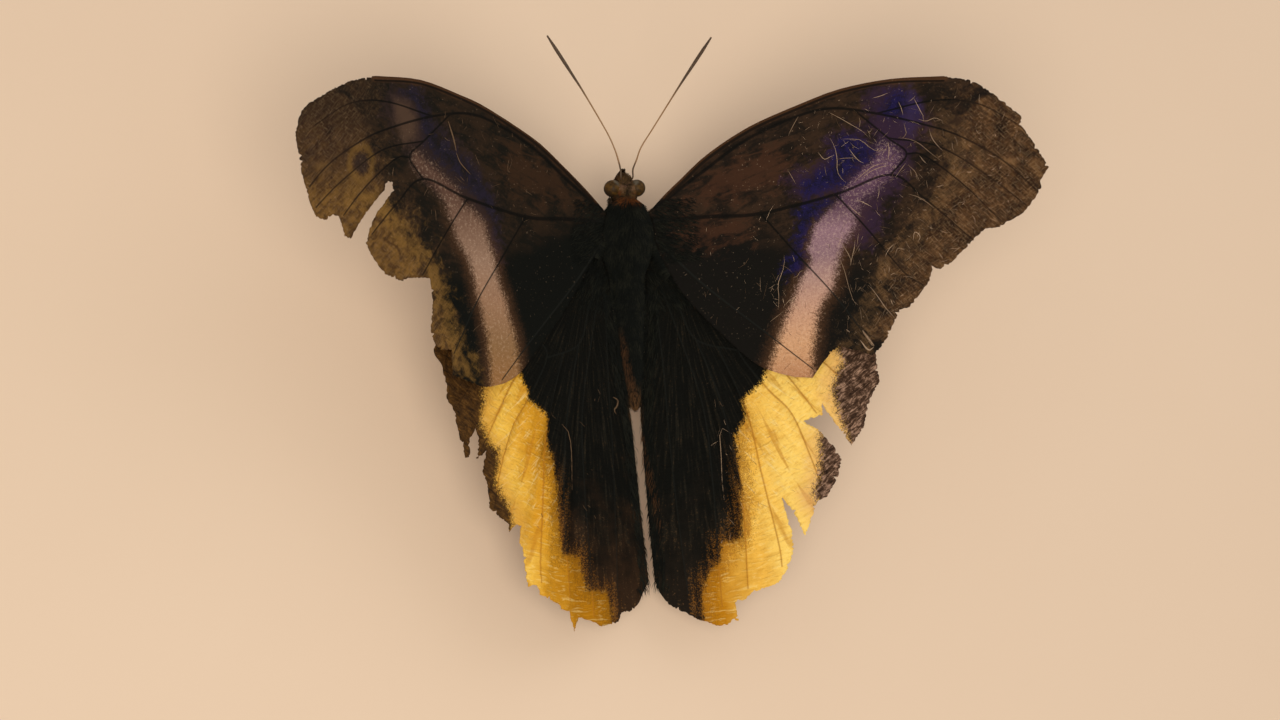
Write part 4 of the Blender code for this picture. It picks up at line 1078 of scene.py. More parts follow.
def make_wing(name, upper, under, random):
    """A closed membrane with raised veins and frayed margins, and the distances it is painted by."""
    wing = WINGS[name]
    outline = frayed(name, packed_outline(name, wing), random)
    lines = vein_lines(name, wing, outline)
    plan, triangles = wing_surface(outline, lines)
    fold, ridge, ratio = relief(name, plan, lines)
    top = bent(wing, plan, fold + HALF_MEMBRANE + ridge)
    bottom = bent(wing, plan, fold - HALF_MEMBRANE - UNDER_VEIN_SHARE * ridge)
    count = len(plan)
    edges = {pair: None for face in triangles.tolist() for pair in zip(face, face[1:] + face[:1])}
    rim = [(end, start, start + count, end + count) for start, end in edges if (end, start) not in edges]
    faces = triangles.tolist() + (triangles[:, ::-1] + count).tolist() + rim
    which = [0] * len(triangles) + [1] * len(triangles) + [0] * len(rim)
    points = np.vstack([top, bottom])
    made = mesh_object(name + "_scaled", points, facing_out(wing, faces), [upper, under], which)
    stored = {"plan": flat_vector(plan), "vein": ratio, **markings(name, wing, plan)}
    stored = {key: np.concatenate([values, values]) for key, values in stored.items()}
    dressed(made, "wing_scales", [name], **stored)
    return outline, lines


def markings(name, wing, plan):
    """Distances that the wing materials read: positive inside each marking."""
    side = wing.side
    u, v = plan.T
    if name.startswith("hind"):
        return {
            "yellow": depth_inside(plan, YELLOW[side]),
            "dark_margin": depth_inside(plan, DARK_MARGIN[side]),
            "beyond": -v * 0.7 + u * 0.5 - 34.0,
            "fan": fan(plan),
        }
    rust = [RUST_CELL, RUST_BASE] if side > 0 else [RUST_CELL]
    return {
        "pale": depth_inside(plan, PALE[side]),
        "patch": depth_inside(plan, UPPER_PATCH[side]),
        "indigo": np.max([depth_inside(plan, outline) for outline in INDIGO_SHEEN[side]], axis=0),
        "violet_sheen": depth_inside(plan, VIOLET_SHEEN[side]),
        "rust": np.max([depth_inside(plan, outline) for outline in rust], axis=0),
        "beyond": depth_inside(plan, BEYOND_BAND),
        "chain": distance_to_path(plan, np.array(OCHRE_CHAIN[side]))[0],
        "spot": np.linalg.norm((plan - EYESPOT[side]) * SPOT_SQUASH, axis=1),
        "costa": distance_to_path(plan, smooth_path(FORE_FRONT[side], 1.0))[0],
        "rear": -v * 1.1 - u * 0.42 - 1.0,
    }


def scratch_paths(name, outline, random):
    """Curved plan paths of the scratches on one wing, with each one's half width and tone."""
    paths = []
    steps = np.linspace(0.0, 1.0, SCRATCH_POINTS)
    for patch in SCRATCHES[name]:
        low, high = np.array(patch.low), np.array(patch.high)
        for _ in range(patch.count):
            start = low + (high - low) * random.random(2)
            length = patch.length * (SCRATCH_SHORTEST + random.random() ** 2 * SCRATCH_LONGER)
            heading = patch.headings[random.integers(2)] + random.normal(0, SCRATCH_HEADING_SPREAD)
            bend = random.normal(0, SCRATCH_BEND) * length
            wobble = random.normal(0, SCRATCH_WOBBLE, SCRATCH_POINTS).cumsum()
            turn = math.radians(heading) + bend * (steps - 0.5) + wobble
            ahead = np.stack([np.cos(turn), np.sin(turn)], axis=1)
            path = start + np.cumsum(ahead, axis=0) * length / SCRATCH_POINTS
            if depth_inside(path, outline).min() > SCRATCH_INSET:
                half = SCRATCH_HALF_WIDTH + SCRATCH_WIDER * random.random() ** 2
                paths.append((path, half, random.random()))
    traced = [(points, TRACED_HALF_WIDTH) for points in TRACED.get(name, [])]
    for points, half in LOOSE_EDGES[name] + traced:
        path = smooth_path(points, 0.1)
        rank = np.linspace(0, len(path) - 1, SCRATCH_POINTS)
        path = np.stack([np.interp(rank, np.arange(len(path)), part) for part in path.T], axis=1)
        paths.append((path, half, TORN_TONE + TORN_TONE_SPREAD * random.random()))
    return paths


def make_scratches(name, outline, lines, material, random):
    """Thin closed slivers of rubbed scales that lie on the wing along its scratches."""
    wing = WINGS[name]
    plan, half, tone = map(np.array, zip(*scratch_paths(name, outline, random)))
    count = len(plan)
    half = half[:, None] * np.sin(np.linspace(0.25, 2.9, SCRATCH_POINTS))
    across = left_of(unit(np.gradient(plan, axis=1))) * half[..., None]
    flat = np.stack([plan - across, plan + across, plan], axis=2).reshape(-1, 2)
    fold, ridge, _ = relief(name, flat, lines)
    lift = np.tile([-SCRATCH_SINK, -SCRATCH_SINK, 0.0], count * SCRATCH_POINTS)
    lift[2::3] += SCRATCH_RISE + SCRATCH_ROUND * half.ravel()
    points = bent(wing, flat, fold + ridge + HALF_MEMBRANE + lift)
    last = (SCRATCH_POINTS - 1) * 3
    sliver = ring_faces(SCRATCH_POINTS, 3) + [(2, 1, 0), (last, last + 1, last + 2)]
    firsts = range(0, count * SCRATCH_POINTS * 3, SCRATCH_POINTS * 3)
    faces = [tuple(first + corner for corner in face) for first in firsts for face in sliver]
    made = mesh_object(name + "_scratches", points, facing_out(wing, faces), [material])
    # Painted shade: scratches on the left wings are darker
    tone = np.repeat(tone * (1.0 if wing.side > 0 else LEFT_SCRATCH_SHADE), SCRATCH_POINTS * 3)
    dressed(made, "wing_scales", tone=tone, plan=flat_vector(flat))


# Body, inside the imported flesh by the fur's depth: Y, centre height, half width and half height
BODY = plot(
    "6.9 14.5 0.5 0.6, 6.7 14.5 1.1 1.2, 6 14.55 1.65 1.95, 4.8 14.6 2.1 2.3, 3.4 14.5 2.15 2.1, "
    "2.7 14.4 1.95 2, 2 14.3 2.4 2.45, 1 14.2 3.15 3.1, -1.5 13.8 4.2 3.95, -5 13.2 4.65 4.15, "
    "-8.5 12.5 4 3.65, -11.4 11.95 2.8 2.85, -13 11.7 2.65 2.7, -16 11.2 2.8 2.9, -21 10.4 2.5 2.65, "
    "-28 9.6 1.85 2, -34 9.1 1.12 1.22, -36.6 8.92 0.55 0.6, -37 8.9 0.25 0.28"
)
BODY_STEP = 0.22
BODY_SIDES = 72
ABDOMEN_FRONT, ABDOMEN_BACK, ABDOMEN_SEGMENTS = -12.0, -36.8, 8
SEGMENT_GROOVE = 0.05
GROOVE_FROM, GROOVE_SPAN = 0.82, 0.18
SKIN_TONE = 0.35
EYE_CENTRE = np.array([2.4, 4.8, 15.0])
EYE_RADII = np.array([1.7, 1.65, 1.85])
EYE_ROWS, EYE_SIDES, EYE_POLE = 48, 72, 0.02
# Direction towards the light for the eyes' painted glint and painted shade
EYE_GLINT = unit(np.array([-0.35, 0.5, 0.8]))

# Limbs: joints with X outwards from the midplane, and radii spread evenly from root to tip
Limb = namedtuple("Limb", "joints radii")
ANTENNA_RADII = [0.15, 0.17, 0.14, 0.13, 0.13, 0.14, 0.15, 0.19, 0.26, 0.33, 0.34, 0.16]
ANTENNAE = {
    -1: Limb(plot(
        "0.9 6 16, 1.2 6.5 17, 1.3 7.9 17.5, 1.9 9.8 18.3, 2.7 11.9 19, 4.2 14.9 19.8, 8.3 21.5 21.6, "
        "10.9 25.4 22.6, 15.6 32.4 24.3"
    ), ANTENNA_RADII),
    1: Limb(plot(
        "0.9 6 16, 1.2 6.5 17, 1.2 7.9 17.5, 1.8 9.5 18.3, 2.8 11.9 19, 5.2 15.3 19.8, 10.2 22.4 21.6, "
        "13.2 26.5 22.6, 17.3 32.1 24.3"
    ), ANTENNA_RADII),
}
ANTENNA_STEP = 0.12
ANTENNA_RING = 0.5
ANTENNA_RING_DEPTH, ANTENNA_GROOVE_FROM = 0.1, 0.8
TUBE_SIDES = 14
PALP = Limb(plot(
    "1.1 5.9 12.9, 1.1 6.1 11.9, 0.85 6.65 11.8, 0.58 7.4 12.8, 0.36 8.05 14.1, 0.2 8.35 15.2"
), [0.25, 0.3, 0.31, 0.28, 0.2, 0.09])
FORELEG = Limb(plot(
    "1.2 -0.6 10.9, 1.75 -0.3 9.7, 1.4 1.6 9.4, 1.3 3.2 10, 1.2 4.1 9.3, 1.1 3.3 8.1, 1 1.1 7.6"
), [0.4, 0.42, 0.34, 0.26, 0.24, 0.2, 0.12])
LEG_RADII = [0.6, 0.62, 0.55, 0.5, 0.3, 0.34, 0.28, 0.22, 0.16]
MIDLEG = Limb(plot(
    "1.5 -3 10.4, 2.3 -2.9 8.7, 3.6 -1.2 8.6, 6 0.8 10.6, 8.6 2.4 11.6, 10.4 3.2 8.4, 13 4 2, "
    "14.2 4.9 0.3, 17.2 7.6 0.25"
), LEG_RADII)
HINDLEG = Limb(plot(
    "1.4 -8.1 9.8, 2.3 -8.6 8, 3.4 -9.8 7.7, 6 -12.6 8.5, 8.8 -15.6 9.4, 10.6 -18.2 6.6, 12.8 -21.4 1.8, "
    "13.4 -23 0.3, 15 -28.6 0.25"
), LEG_RADII)
LEG_STEP = 0.25
LEG_SIDES = 16
TARSUS_LENGTH = 6.5
TARSUS_JOINT = 1.2
TARSUS_THIN, TARSUS_SWELL = 0.86, 0.22
SPINE_SPACING = 0.45
SPINE_FROM, SPINE_TO = 0.52, 0.97
SPINE_LENGTH, CLAW_LENGTH, SPINE_WIDTH, SPINE_LIFT = 0.42, 0.6, 0.07, 0.5
PROBOSCIS_CENTRE = np.array([0.0, 6.4, 9.9])
PROBOSCIS_ROOT = [(0.0, 5.4, 12.6), (0.0, 5.7, 11.9)]
PROBOSCIS_OUTER, PROBOSCIS_INNER = 1.45, 0.35
PROBOSCIS_TURNS, PROBOSCIS_START = 1.5, math.radians(95.0)
PROBOSCIS_THICK, PROBOSCIS_TAPER, PROBOSCIS_GROOVE = 0.22, 0.35, 0.1
PROBOSCIS_RINGS, PROBOSCIS_SIDES = 150, 12
PROBOSCIS_RIBS, PROBOSCIS_RIB_FROM = 30, 0.4

FUR_BLACK = srgb(15, 17, 14)
FUR_GREEN = srgb(30, 30, 23)
FUR_BROWN = srgb(56, 40, 24)
FUR_OLIVE = srgb(92, 70, 42)
FUR_RED = srgb(66, 39, 20)
FUR_ORANGE = srgb(112, 63, 27)
FUR_PINK = srgb(150, 112, 88)
FUR_FLANK = srgb(76, 50, 30)
FUR_LAST = srgb(98, 68, 40)
FLANK_SLANT, FLANK_X = 0.16, 5.86
CUTICLE_PALE = srgb(150, 116, 76)
FEELER_PALE, FEELER_DARK = srgb(138, 101, 62), srgb(60, 40, 22)
LEG_NEAR, LEG_FAR = srgb(66, 48, 34), srgb(84, 62, 42)
EYE_BROWN, EYE_AMBER = srgb(50, 34, 12), srgb(80, 55, 19)
# Painted shade and painted glint on the eyes
EYE_SHADE, EYE_GLINT_PALE = srgb(38, 28, 18), srgb(100, 100, 92)

# Tufts of colour on the head, the same on both sides: centre, radius and colour
HEAD_PATCHES = [
    ((1.6, 3.2, 16.0), 1.1, FUR_BLACK), ((1.15, 3.75, 16.5), 0.32, FUR_ORANGE),
    ((0.3, 2.3, 16.6), 0.4, FUR_ORANGE), ((1.0, 2.2, 16.5), 0.42, FUR_ORANGE),
    ((1.7, 2.5, 16.0), 0.36, FUR_ORANGE), ((0.75, 4.6, 16.8), 0.25, FUR_PINK),
]

# A tuft for each root: three corners under the skin, three at its middle and a tip. Corners are
# sideways and upwards in widths, the root's depth is in millimetres, and the rest is in lengths
TUFT_CORNERS = ((0.5, -0.12), (-0.5, -0.12), (0.0, 0.3))
TUFT_FACES = ((0, 2, 1), (0, 1, 4, 3), (1, 2, 5, 4), (2, 0, 3, 5), (3, 4, 6), (4, 5, 6), (5, 3, 6))
TUFT_ROOT_DEPTH = 0.12
TUFT_MIDDLE, TUFT_MIDDLE_RISE, TUFT_MIDDLE_WIDTH = 0.5, 0.05, 0.85
TUFT_TIP, TUFT_TIP_DROOP = 0.97, 0.1
TUFT_REACH = (0.0, 0.0, 0.0, 0.5, 0.5, 0.5, 1.0)
BAKE_PATCH = 0.003
BAKE_TURN = np.array([0.0, 2.1, 4.2, 0.5, 2.6, 4.7, 0.0])
BAKE_REACH = np.array([1.0, 1.0, 1.0, 0.6, 0.6, 0.6, 0.0])
GOLDEN = (math.sqrt(5.0) - 1.0) / 2.0
SKIN_BACK_Y, SKIN_LENGTH = -38.0, 46.0
HEAD_FRONT_Y, HEAD_BACK_Y, HEAD_TUFTS = 6.85, 2.2, 8500

# Coats: a stretch of the body or a limb, how many tufts, and their length, width and lift
BODY_COATS = {
    "coat_thorax": (2.4, -11.8, 15000, 1.8, 0.12, 0.3),
    "coat_abdomen": (-11.5, -36.9, 11000, 1.1, 0.1, 0.14),
}
LIMB_COATS = {"coat_palps": (PALP, 1000, 0.42, 0.3), "coat_forelegs": (FORELEG, 700, 0.7, 0.4)}
LEGS = {"foreleg": FORELEG, "midleg": MIDLEG, "hindleg": HINDLEG}


def body_sections():
    """Y, centre height, half width and half height at close steps, abdomen rings included."""
    along = smooth_path(BODY, BODY_STEP)
    segments = (ABDOMEN_FRONT - along[:, 0]) / (ABDOMEN_FRONT - ABDOMEN_BACK)
    segments = np.clip(segments, 0.0, 1.0) * ABDOMEN_SEGMENTS
    pinch = faded(segments % 1.0, GROOVE_FROM, GROOVE_SPAN)
    pinch *= (segments > 0) & (segments < ABDOMEN_SEGMENTS)
    along[:, 2:] *= (1.0 - SEGMENT_GROOVE * pinch)[:, None]
    return along


def body_at(y, angle):
    """Points on the skin and its outward directions, the angle measured from the underside."""
    stations, *shapes = body_sections()[::-1].T
    z, wide, high = [np.interp(y, stations, shape) for shape in shapes]
    dz, dwide, dhigh = [np.interp(y, stations, np.gradient(shape, stations)) for shape in shapes]
    sine, cosine = np.sin(angle), np.cos(angle)
    points = np.stack([wide * sine, y, z - high * cosine], axis=1)
    around = np.stack([wide * cosine, np.zeros(len(y)), high * sine], axis=1)
    ahead = np.stack([dwide * sine, np.ones(len(y)), dz - dhigh * cosine], axis=1)
    return points, unit(np.cross(ahead, around)), unit(ahead)


def ring_faces(rings, sides):
    """Quads over rows of equal rings, with the row's two ends left open."""
    faces = []
    for here in range(0, (rings - 1) * sides, sides):
        for side in range(sides):
            after = (side + 1) % sides
            faces.append((here + side, here + after, here + sides + after, here + sides + side))
    return faces


def capped(points, rings, sides):
    """Rows of rings with both open ends closed by a fan round a middle point."""
    last = (rings - 1) * sides
    count = len(points)
    faces = ring_faces(rings, sides)
    faces += [(side, count, (side + 1) % sides) for side in range(sides)]
    faces += [(last + side, last + (side + 1) % sides, count + 1) for side in range(sides)]
    middles = points[:sides].mean(axis=0), points[last:last + sides].mean(axis=0)
    return np.vstack([points, *middles]), faces


def make_body_skin(material):
    """The closed skin of head, thorax and abdomen, under the fur."""
    sections = body_sections()
    turn = np.tile(full_turn(BODY_SIDES), len(sections))
    points, _, _ = body_at(np.repeat(sections[:, 0], BODY_SIDES), turn)
    points, faces = capped(points, len(sections), BODY_SIDES)
    made = mesh_object("body_skin", points, faces, [material])
    tone, reach = np.full(len(points), SKIN_TONE), np.zeros(len(points))
    dressed(made, "body_fur", ["head", "thorax", "abdomen"], root=points, tone=tone, reach=reach)


def full_turn(sides):
    return np.arange(sides) * 2 * math.pi / sides


def tufts(name, coat, length, width, lift, material, random, slot="body_fur"):
    """Closed tapering tufts, one for each root, lying along the flow and lifted off the skin.

    A coat is its roots, their normals, the flow, and the roots' places on the unrolled skin.
    """
    roots, normals, flow, places = coat
    count = len(roots)
    flow = unit(flow - normals * np.sum(flow * normals, axis=1, keepdims=True))
    length, width, lean = length[:, None], width[:, None], lift[:, None]
    ahead = unit(flow * np.cos(lean) + normals * np.sin(lean))
    across = unit(np.cross(normals, ahead))
    up = unit(np.cross(ahead, across))
    base = roots - normals * TUFT_ROOT_DEPTH
    middle = roots + ahead * length * TUFT_MIDDLE + normals * length * TUFT_MIDDLE_RISE
    points = np.empty((count, 7, 3))
    for k, (sideways, upwards) in enumerate(TUFT_CORNERS):
        points[:, k] = base + (across * sideways + up * upwards) * width
        points[:, 3 + k] = middle + (across * sideways + up * upwards) * width * TUFT_MIDDLE_WIDTH
    points[:, 6] = roots + ahead * length * TUFT_TIP - normals * length * TUFT_TIP_DROOP * np.cos(lean)
    starts = np.arange(count)[:, None] * 7
    faces = [face for shape in TUFT_FACES for face in (starts + np.array(shape)).tolist()]
    made = mesh_object(name, points.reshape(-1, 3), faces, [material], smooth=False)
    patch = np.stack([np.cos(BAKE_TURN), np.sin(BAKE_TURN)], axis=1)
    patch *= (BAKE_PATCH / 2 * BAKE_REACH)[:, None]
    places = np.clip(places, BAKE_PATCH, 1.0 - BAKE_PATCH)
    per_point = (places[:, None, :] + patch[None]).reshape(-1, 2)
    layer = made.data.uv_layers.new(name="OFBake")
    corners = np.empty(len(made.data.loops), np.int32)
    made.data.loops.foreach_get("vertex_index", corners)
    layer.data.foreach_set("uv", per_point[corners].astype(np.float32).ravel())
    tone, reach = np.repeat(random.random(count), 7), np.tile(TUFT_REACH, count)
    dressed(made, slot, root=np.repeat(roots, 7, axis=0), tone=tone, reach=reach)


def varied(random, usual, share, more, count):
    """Values spread evenly from a share of the usual one upwards."""
    return usual * (share + more * random.random(count))


def spread_on_body(front, back, count, random):
    """Evenly scattered Y and angle values over the skin between two stations."""
    sections = body_sections()
    kept = sections[(sections[:, 0] <= front) & (sections[:, 0] >= back)]
    girth = kept[:, 2] + kept[:, 3]
    total = np.concatenate([[0.0], np.cumsum((girth[1:] + girth[:-1]) / 2 * -np.diff(kept[:, 0]))])
    ranks = (np.arange(count) + random.random(count)) / count * total[-1]
    y = np.interp(ranks, total, kept[:, 0])
    angle = (np.arange(count) * GOLDEN % 1.0) * 2 * math.pi + random.normal(0, 0.03, count)
    return y, angle


def skin_places(y, angle):
    """Where roots on the body fall on its unrolled skin."""
    return np.stack([angle / (2 * math.pi) % 1.0, (y - SKIN_BACK_Y) / SKIN_LENGTH], axis=1)


def body_coat(name, front, back, count, length, width, lift, material, random):
    """A stretch of the body's fur, lying backwards and a little down its sides."""
    y, angle = spread_on_body(front, back, count, random)
    roots, normals, ahead = body_at(y, angle)
    down = np.array([0.0, 0.0, -0.25]) + np.stack([np.sign(roots[:, 0]) * 0.12, 0 * y, 0 * y], axis=1)
    flow = -ahead + down + random.normal(0, 0.16, (count, 3))
    coat = roots, normals, flow, skin_places(y, angle)
    lengths = varied(random, length, 0.7, 0.6, count)
    widths = varied(random, width, 0.75, 0.5, count)
    lifts = varied(random, lift, 0.5, 1.0, count)
    tufts(name, coat, lengths, widths, lifts, material, random)


def body_fur_material(name):
    """Greenish black fur, an olive head with orange and pink tufts, and a rusty flank."""
    paint = Paint(name, roughness=0.8, specular=0.1)
    over, ragged, step = paint.over, paint.ragged, paint.step
    root = paint.attribute("root", "Vector")
    x, y, z = paint.parts(root)
    aside = paint.size(x)
    mirrored = paint.node("CombineXYZ", {0: aside, 1: y, 2: z})
    tone = paint.attribute("tone")
    cloud = paint.noise(root, 0.5, 3.0)
    fine = paint.noise(root, 2.5, 3.0)
    mottle = ragged(fine, tone, 0.22)
    colour = over(FUR_BLACK, FUR_GREEN, ragged(cloud, tone, 0.15), 0.46, 0.7)
    head = paint.times(step(ragged(y, fine, 1.2), 2.5, 3.4), step(aside, 4.6, 4.0))
    head_colour = over(FUR_BROWN, FUR_OLIVE, mottle, 0.4, 0.62)
    head_colour = over(head_colour, FUR_RED, ragged(y, fine, 2.0), 5.0, 6.6, 0.6)
    colour = paint.mix(head, colour, head_colour)
    # Painted shade under the head: its lower fur darkened towards black
    low = paint.times(step(z, 15.2, 13.8), head, 0.75)
    colour = paint.mix(low, colour, FUR_BLACK)
    line = paint.times(step(ragged(aside, fine, 0.5), 0.55, 0.2), head, 0.6)
    colour = paint.mix(line, colour, FUR_BLACK)
    for centre, radius, patch in HEAD_PATCHES:
        gap = paint.node("VectorMath", {0: mirrored, 1: centre}, 1, operation="DISTANCE")
        gap = ragged(gap, fine, 0.9, tone, 0.5)
        colour = over(colour, patch, gap, radius + 0.3, radius - 0.3, 0.75)
    streak = paint.size(paint.add(x, paint.times(y, FLANK_SLANT), FLANK_X))
    behind = paint.times(y, -1.0)
    flank = paint.times(step(streak, 0.95, 0.3), step(behind, 20.0, 26.0))
    flank = paint.times(flank, step(ragged(cloud, tone, 0.4), 0.36, 0.6), 0.85)
    colour = paint.mix(flank, colour, FUR_FLANK)
    last = paint.times(step(behind, 31.0, 36.0), step(mottle, 0.38, 0.6), step(behind, 40.0, 37.0))
    colour = paint.mix(paint.times(last, step(aside, 2.0, 1.1), 0.7), colour, FUR_LAST)
    # Painted shade: each tuft darker towards its root, besides its own random tone
    shade = paint.add(0.65, paint.times(tone, 0.4), paint.times(paint.attribute("reach"), 0.35))
    shade = paint.node("CombineXYZ", {0: shade, 1: shade, 2: shade})
    colour = paint.mix(1.0, colour, shade, "MULTIPLY")
    return paint.finish(colour, fine, 0.05, 0.4)


def make_body_coats(material, random):
    """The fur of thorax and abdomen, and the head's, which parts round the eyes."""
    for name, coat in BODY_COATS.items():
        body_coat(name, *coat, material, random)
    y, angle = spread_on_body(HEAD_FRONT_Y, HEAD_BACK_Y, HEAD_TUFTS, random)
    roots, normals, ahead = body_at(y, angle)
    sideways = np.sign(roots[:, :1]) * [1.0, 0.0, 0.0]
    front = faded(y, 4.6, 1.2)[:, None]
    outer = faded(np.abs(roots[:, :1]), 0.5, 0.6)
    back_flow = -ahead * 0.5 + np.array([0.0, 0.0, 0.4]) + (0.3 + 1.2 * outer) * sideways
    front_flow = np.array([0.0, 1.0, 0.25]) - roots * [0.65, 0.0, 0.0]
    flow = back_flow * (1 - front) + front_flow * front + random.normal(0, 0.2, roots.shape)
    from_eye = (roots - EYE_CENTRE * [0, 1, 1] - EYE_CENTRE[0] * sideways) / EYE_RADII
    clear = np.linalg.norm(from_eye, axis=1) > 1.0
    count = int(clear.sum())
    coat = [values[clear] for values in (roots, normals, flow, skin_places(y, angle))]
    high = np.clip((coat[0][:, 2] - 12.6) / 1.6, 0.3, 1.0) * (1.0 - 0.6 * outer[clear, 0])
    length = varied(random, 1.0, 0.55, 0.4, count) * (1.0 + 1.1 * front[clear, 0] * high)
    width = varied(random, 1.0, 0.07, 0.05, count)
    tufts("coat_head", coat, length, width, varied(random, 1.0, 0.3, 0.4, count), material, random)


def limb_coat(name, limb, count, length, lift, material, random):
    """Hairs all round a pair of limbs, leaning towards their tips."""
    parts = []
    for side in (1, -1):
        path, radii, _ = limb_path(limb, side, 0.1)
        forward = unit(np.gradient(path, axis=0))
        rank = random.integers(3, len(path), count)
        turn = random.random(count) * 2 * math.pi
        across = unit(np.cross(forward[rank], [1.0, 0.0, 0.0]))
        other = np.cross(forward[rank], across)
        normals = across * np.cos(turn)[:, None] + other * np.sin(turn)[:, None]
        roots = path[rank] + normals * radii[rank][:, None]
        places = np.stack([(turn / (2 * math.pi) + (side < 0)) * 0.5, rank / len(path)], axis=1)
        parts.append((roots, normals, forward[rank], places))
    roots, normals, flow, places = joined(parts)
    coat = roots, normals, flow + random.normal(0, 0.15, flow.shape), places
    lengths = varied(random, length, 0.6, 0.7, len(roots))
    widths = varied(random, 1.0, 0.06, 0.04, len(roots))
    tufts(name, coat, lengths, widths, varied(random, lift, 0.5, 1.0, len(roots)), material, random)


def on_wing(name, plan, lines):
    """Points on a wing's upper face, their normals, and the plan's two directions there."""
    wing = WINGS[name]
    fold, ridge, _ = relief(name, plan, lines)
    lift = fold + ridge + HALF_MEMBRANE
    here = bent(wing, plan, lift)
    outwards = unit(bent(wing, plan + [0.05, 0.0], lift) - here)
    forwards = unit(bent(wing, plan + [0.0, 0.05], lift) - here)
    return here, unit(np.cross(outwards, forwards)) * wing.side, outwards, forwards


def wing_places(index, plan):
    """Where roots on a wing fall in its own quarter of the unrolled skin."""
    quarter = np.array([index % 2, index // 2]) * 0.5
    return quarter + PLACES_FROM + PLACES_SPAN * (plan - PLAN_CORNER) / PLAN_SPAN


def make_wing_hairs(surfaces, material, random):
    """Long hairs over the wing roots and along the hindwings' inner margins."""
    parts = []
    for index, (name, (outline, lines)) in enumerate(surfaces.items()):
        for zone in WING_HAIRS[name[:4]]:
            low, high = np.array(zone.low), np.array(zone.high)
            plan = low + (high - low) * random.random((zone.count, 2)) ** [zone.crowd, 1.0]
            depth = depth_inside(plan, outline)
            plan = plan[(depth > 0.05) & (depth < zone.depth)]
            roots, normals, outwards, forwards = on_wing(name, plan, lines)
            flow = outwards * zone.flow[0] + forwards * zone.flow[1] + random.normal(0, 0.12, roots.shape)
            length = varied(random, zone.length, 0.6, 0.6, len(plan))
            parts.append((roots, normals, flow, wing_places(index, plan), length))
    *coat, length = joined(parts)
    width = varied(random, 1.0, 0.08, 0.05, len(length))
    lift = varied(random, 1.0, 0.05, 0.16, len(length))
    tufts("coat_wing_roots", coat, length, width, lift, material, random)


def make_fringe(surfaces, material, random):
    """Hairs that close the gap between the wings' inner edges and the body."""
    parts = []
    for index, (name, (outline, lines)) in enumerate(surfaces.items()):
        closed = np.vstack([outline, outline[:1]])
        middle = (closed[1:] + closed[:-1]) / 2
        gap = np.linalg.norm(np.diff(closed, axis=0), axis=1)
        behind = WINGS[name].base[1] + middle[:, 1]
        inner = (middle[:, 0] < FRINGE_OUTER_U) & (middle[:, 1] < FRINGE_FRONT_V)
        inner &= behind > FRINGE_BACK_Y
        total = gap[inner].sum()
        picked = random.choice(len(middle), int(total * FRINGE_PER_MM), p=gap * inner / total)
        scatter = random.normal(0, FRINGE_SCATTER, (len(picked), 2))
        plan = middle[picked] + scatter + [FRINGE_INSET, 0.0]
        roots, normals, outwards, forwards = on_wing(name, plan, lines)
        flow = -outwards - FRINGE_FLOW_BACK * forwards + random.normal(0, 0.2, roots.shape)
        parts.append((roots, normals, flow, wing_places(index, plan)))
    coat = joined(parts)
    count = len(coat[0])
    length = varied(random, FRINGE_LENGTH, 0.6, 0.6, count)
    width = varied(random, 1.0, 0.1, 0.05, count)
    lift = FRINGE_LEAN * random.normal(0, 1.0, count)
    tufts("coat_wing_edges", coat, length, width, lift, material, random)


def make_spines(material, random):
    """Two rows of short spines under each walking leg, and a pair of claws at its tip."""
    parts = []
    for order, limb in enumerate((MIDLEG, HINDLEG)):
        for side in (1, -1):
            path, radii, travelled = limb_path(limb, side, 0.05)
            forward = unit(np.gradient(path, axis=0))
            stations = np.arange(SPINE_FROM * travelled[-1], SPINE_TO * travelled[-1], SPINE_SPACING)
            rank = np.append(np.searchsorted(travelled, stations), len(path) - 2)
            level = unit(np.cross(forward[rank], [0.0, 0.0, 1.0]))
            below = np.cross(forward[rank], level)
            below *= -np.sign(below[:, 2:])
            for turn in (-1, 1):
                normals = unit(below + turn * 0.9 * level)
                roots = path[rank] + normals * radii[rank][:, None]
                length = np.append(np.full(len(stations), SPINE_LENGTH), CLAW_LENGTH)
                row = np.full(len(rank), 0.25 * (1 + turn) + 0.2 * (1 + side) + 0.05)
                places = np.stack([(rank / len(path) + order) * 0.5, row], axis=1)
                parts.append((roots, normals, forward[rank], places, length))
    *coat, length = joined(parts)
    width, lift = np.full(len(length), SPINE_WIDTH), np.full(len(length), SPINE_LIFT)
    tufts("leg_spines", coat, length, width, lift, material, random, "leg_cuticle")


def swept(path, radii, sides):
    """Rings along a path, turned with it without twisting, and closed at both ends."""
    ahead = unit(np.gradient(path, axis=0))
    across = np.array([0.0, 0.0, 1.0]) if abs(ahead[0][2]) < 0.9 else np.array([1.0, 0.0, 0.0])
    angles = full_turn(sides)[:, None]
    rings = []
    for point, direction, radius in zip(path, ahead, radii):
        across = unit(across - direction * np.dot(across, direction))
        other = np.cross(direction, across)
        rings.append(point + radius * (np.cos(angles) * across + np.sin(angles) * other))
    return capped(np.vstack(rings), len(path), sides)


def length_along(path):
    return np.concatenate([[0.0], np.cumsum(np.linalg.norm(np.diff(path, axis=0), axis=1))])


def limb_path(limb, side, step):
    """A limb's smooth path on one side of the body, its radii, and the length along it."""
    path = smooth_path([(side * x, y, z) for x, y, z in limb.joints], step)
    radii = np.interp(np.linspace(0, 1, len(path)), np.linspace(0, 1, len(limb.radii)), limb.radii)
    return path, radii, length_along(path)


def make_tube(name, path, radii, sides, travelled, material, node, slot):
    points, faces = swept(path, radii, sides)
    made = mesh_object(name, points, faces, [material])
    share = np.repeat(travelled / travelled[-1], sides)
    dressed(made, slot, [node], along=np.concatenate([share, [0.0, 1.0]]), root=points)


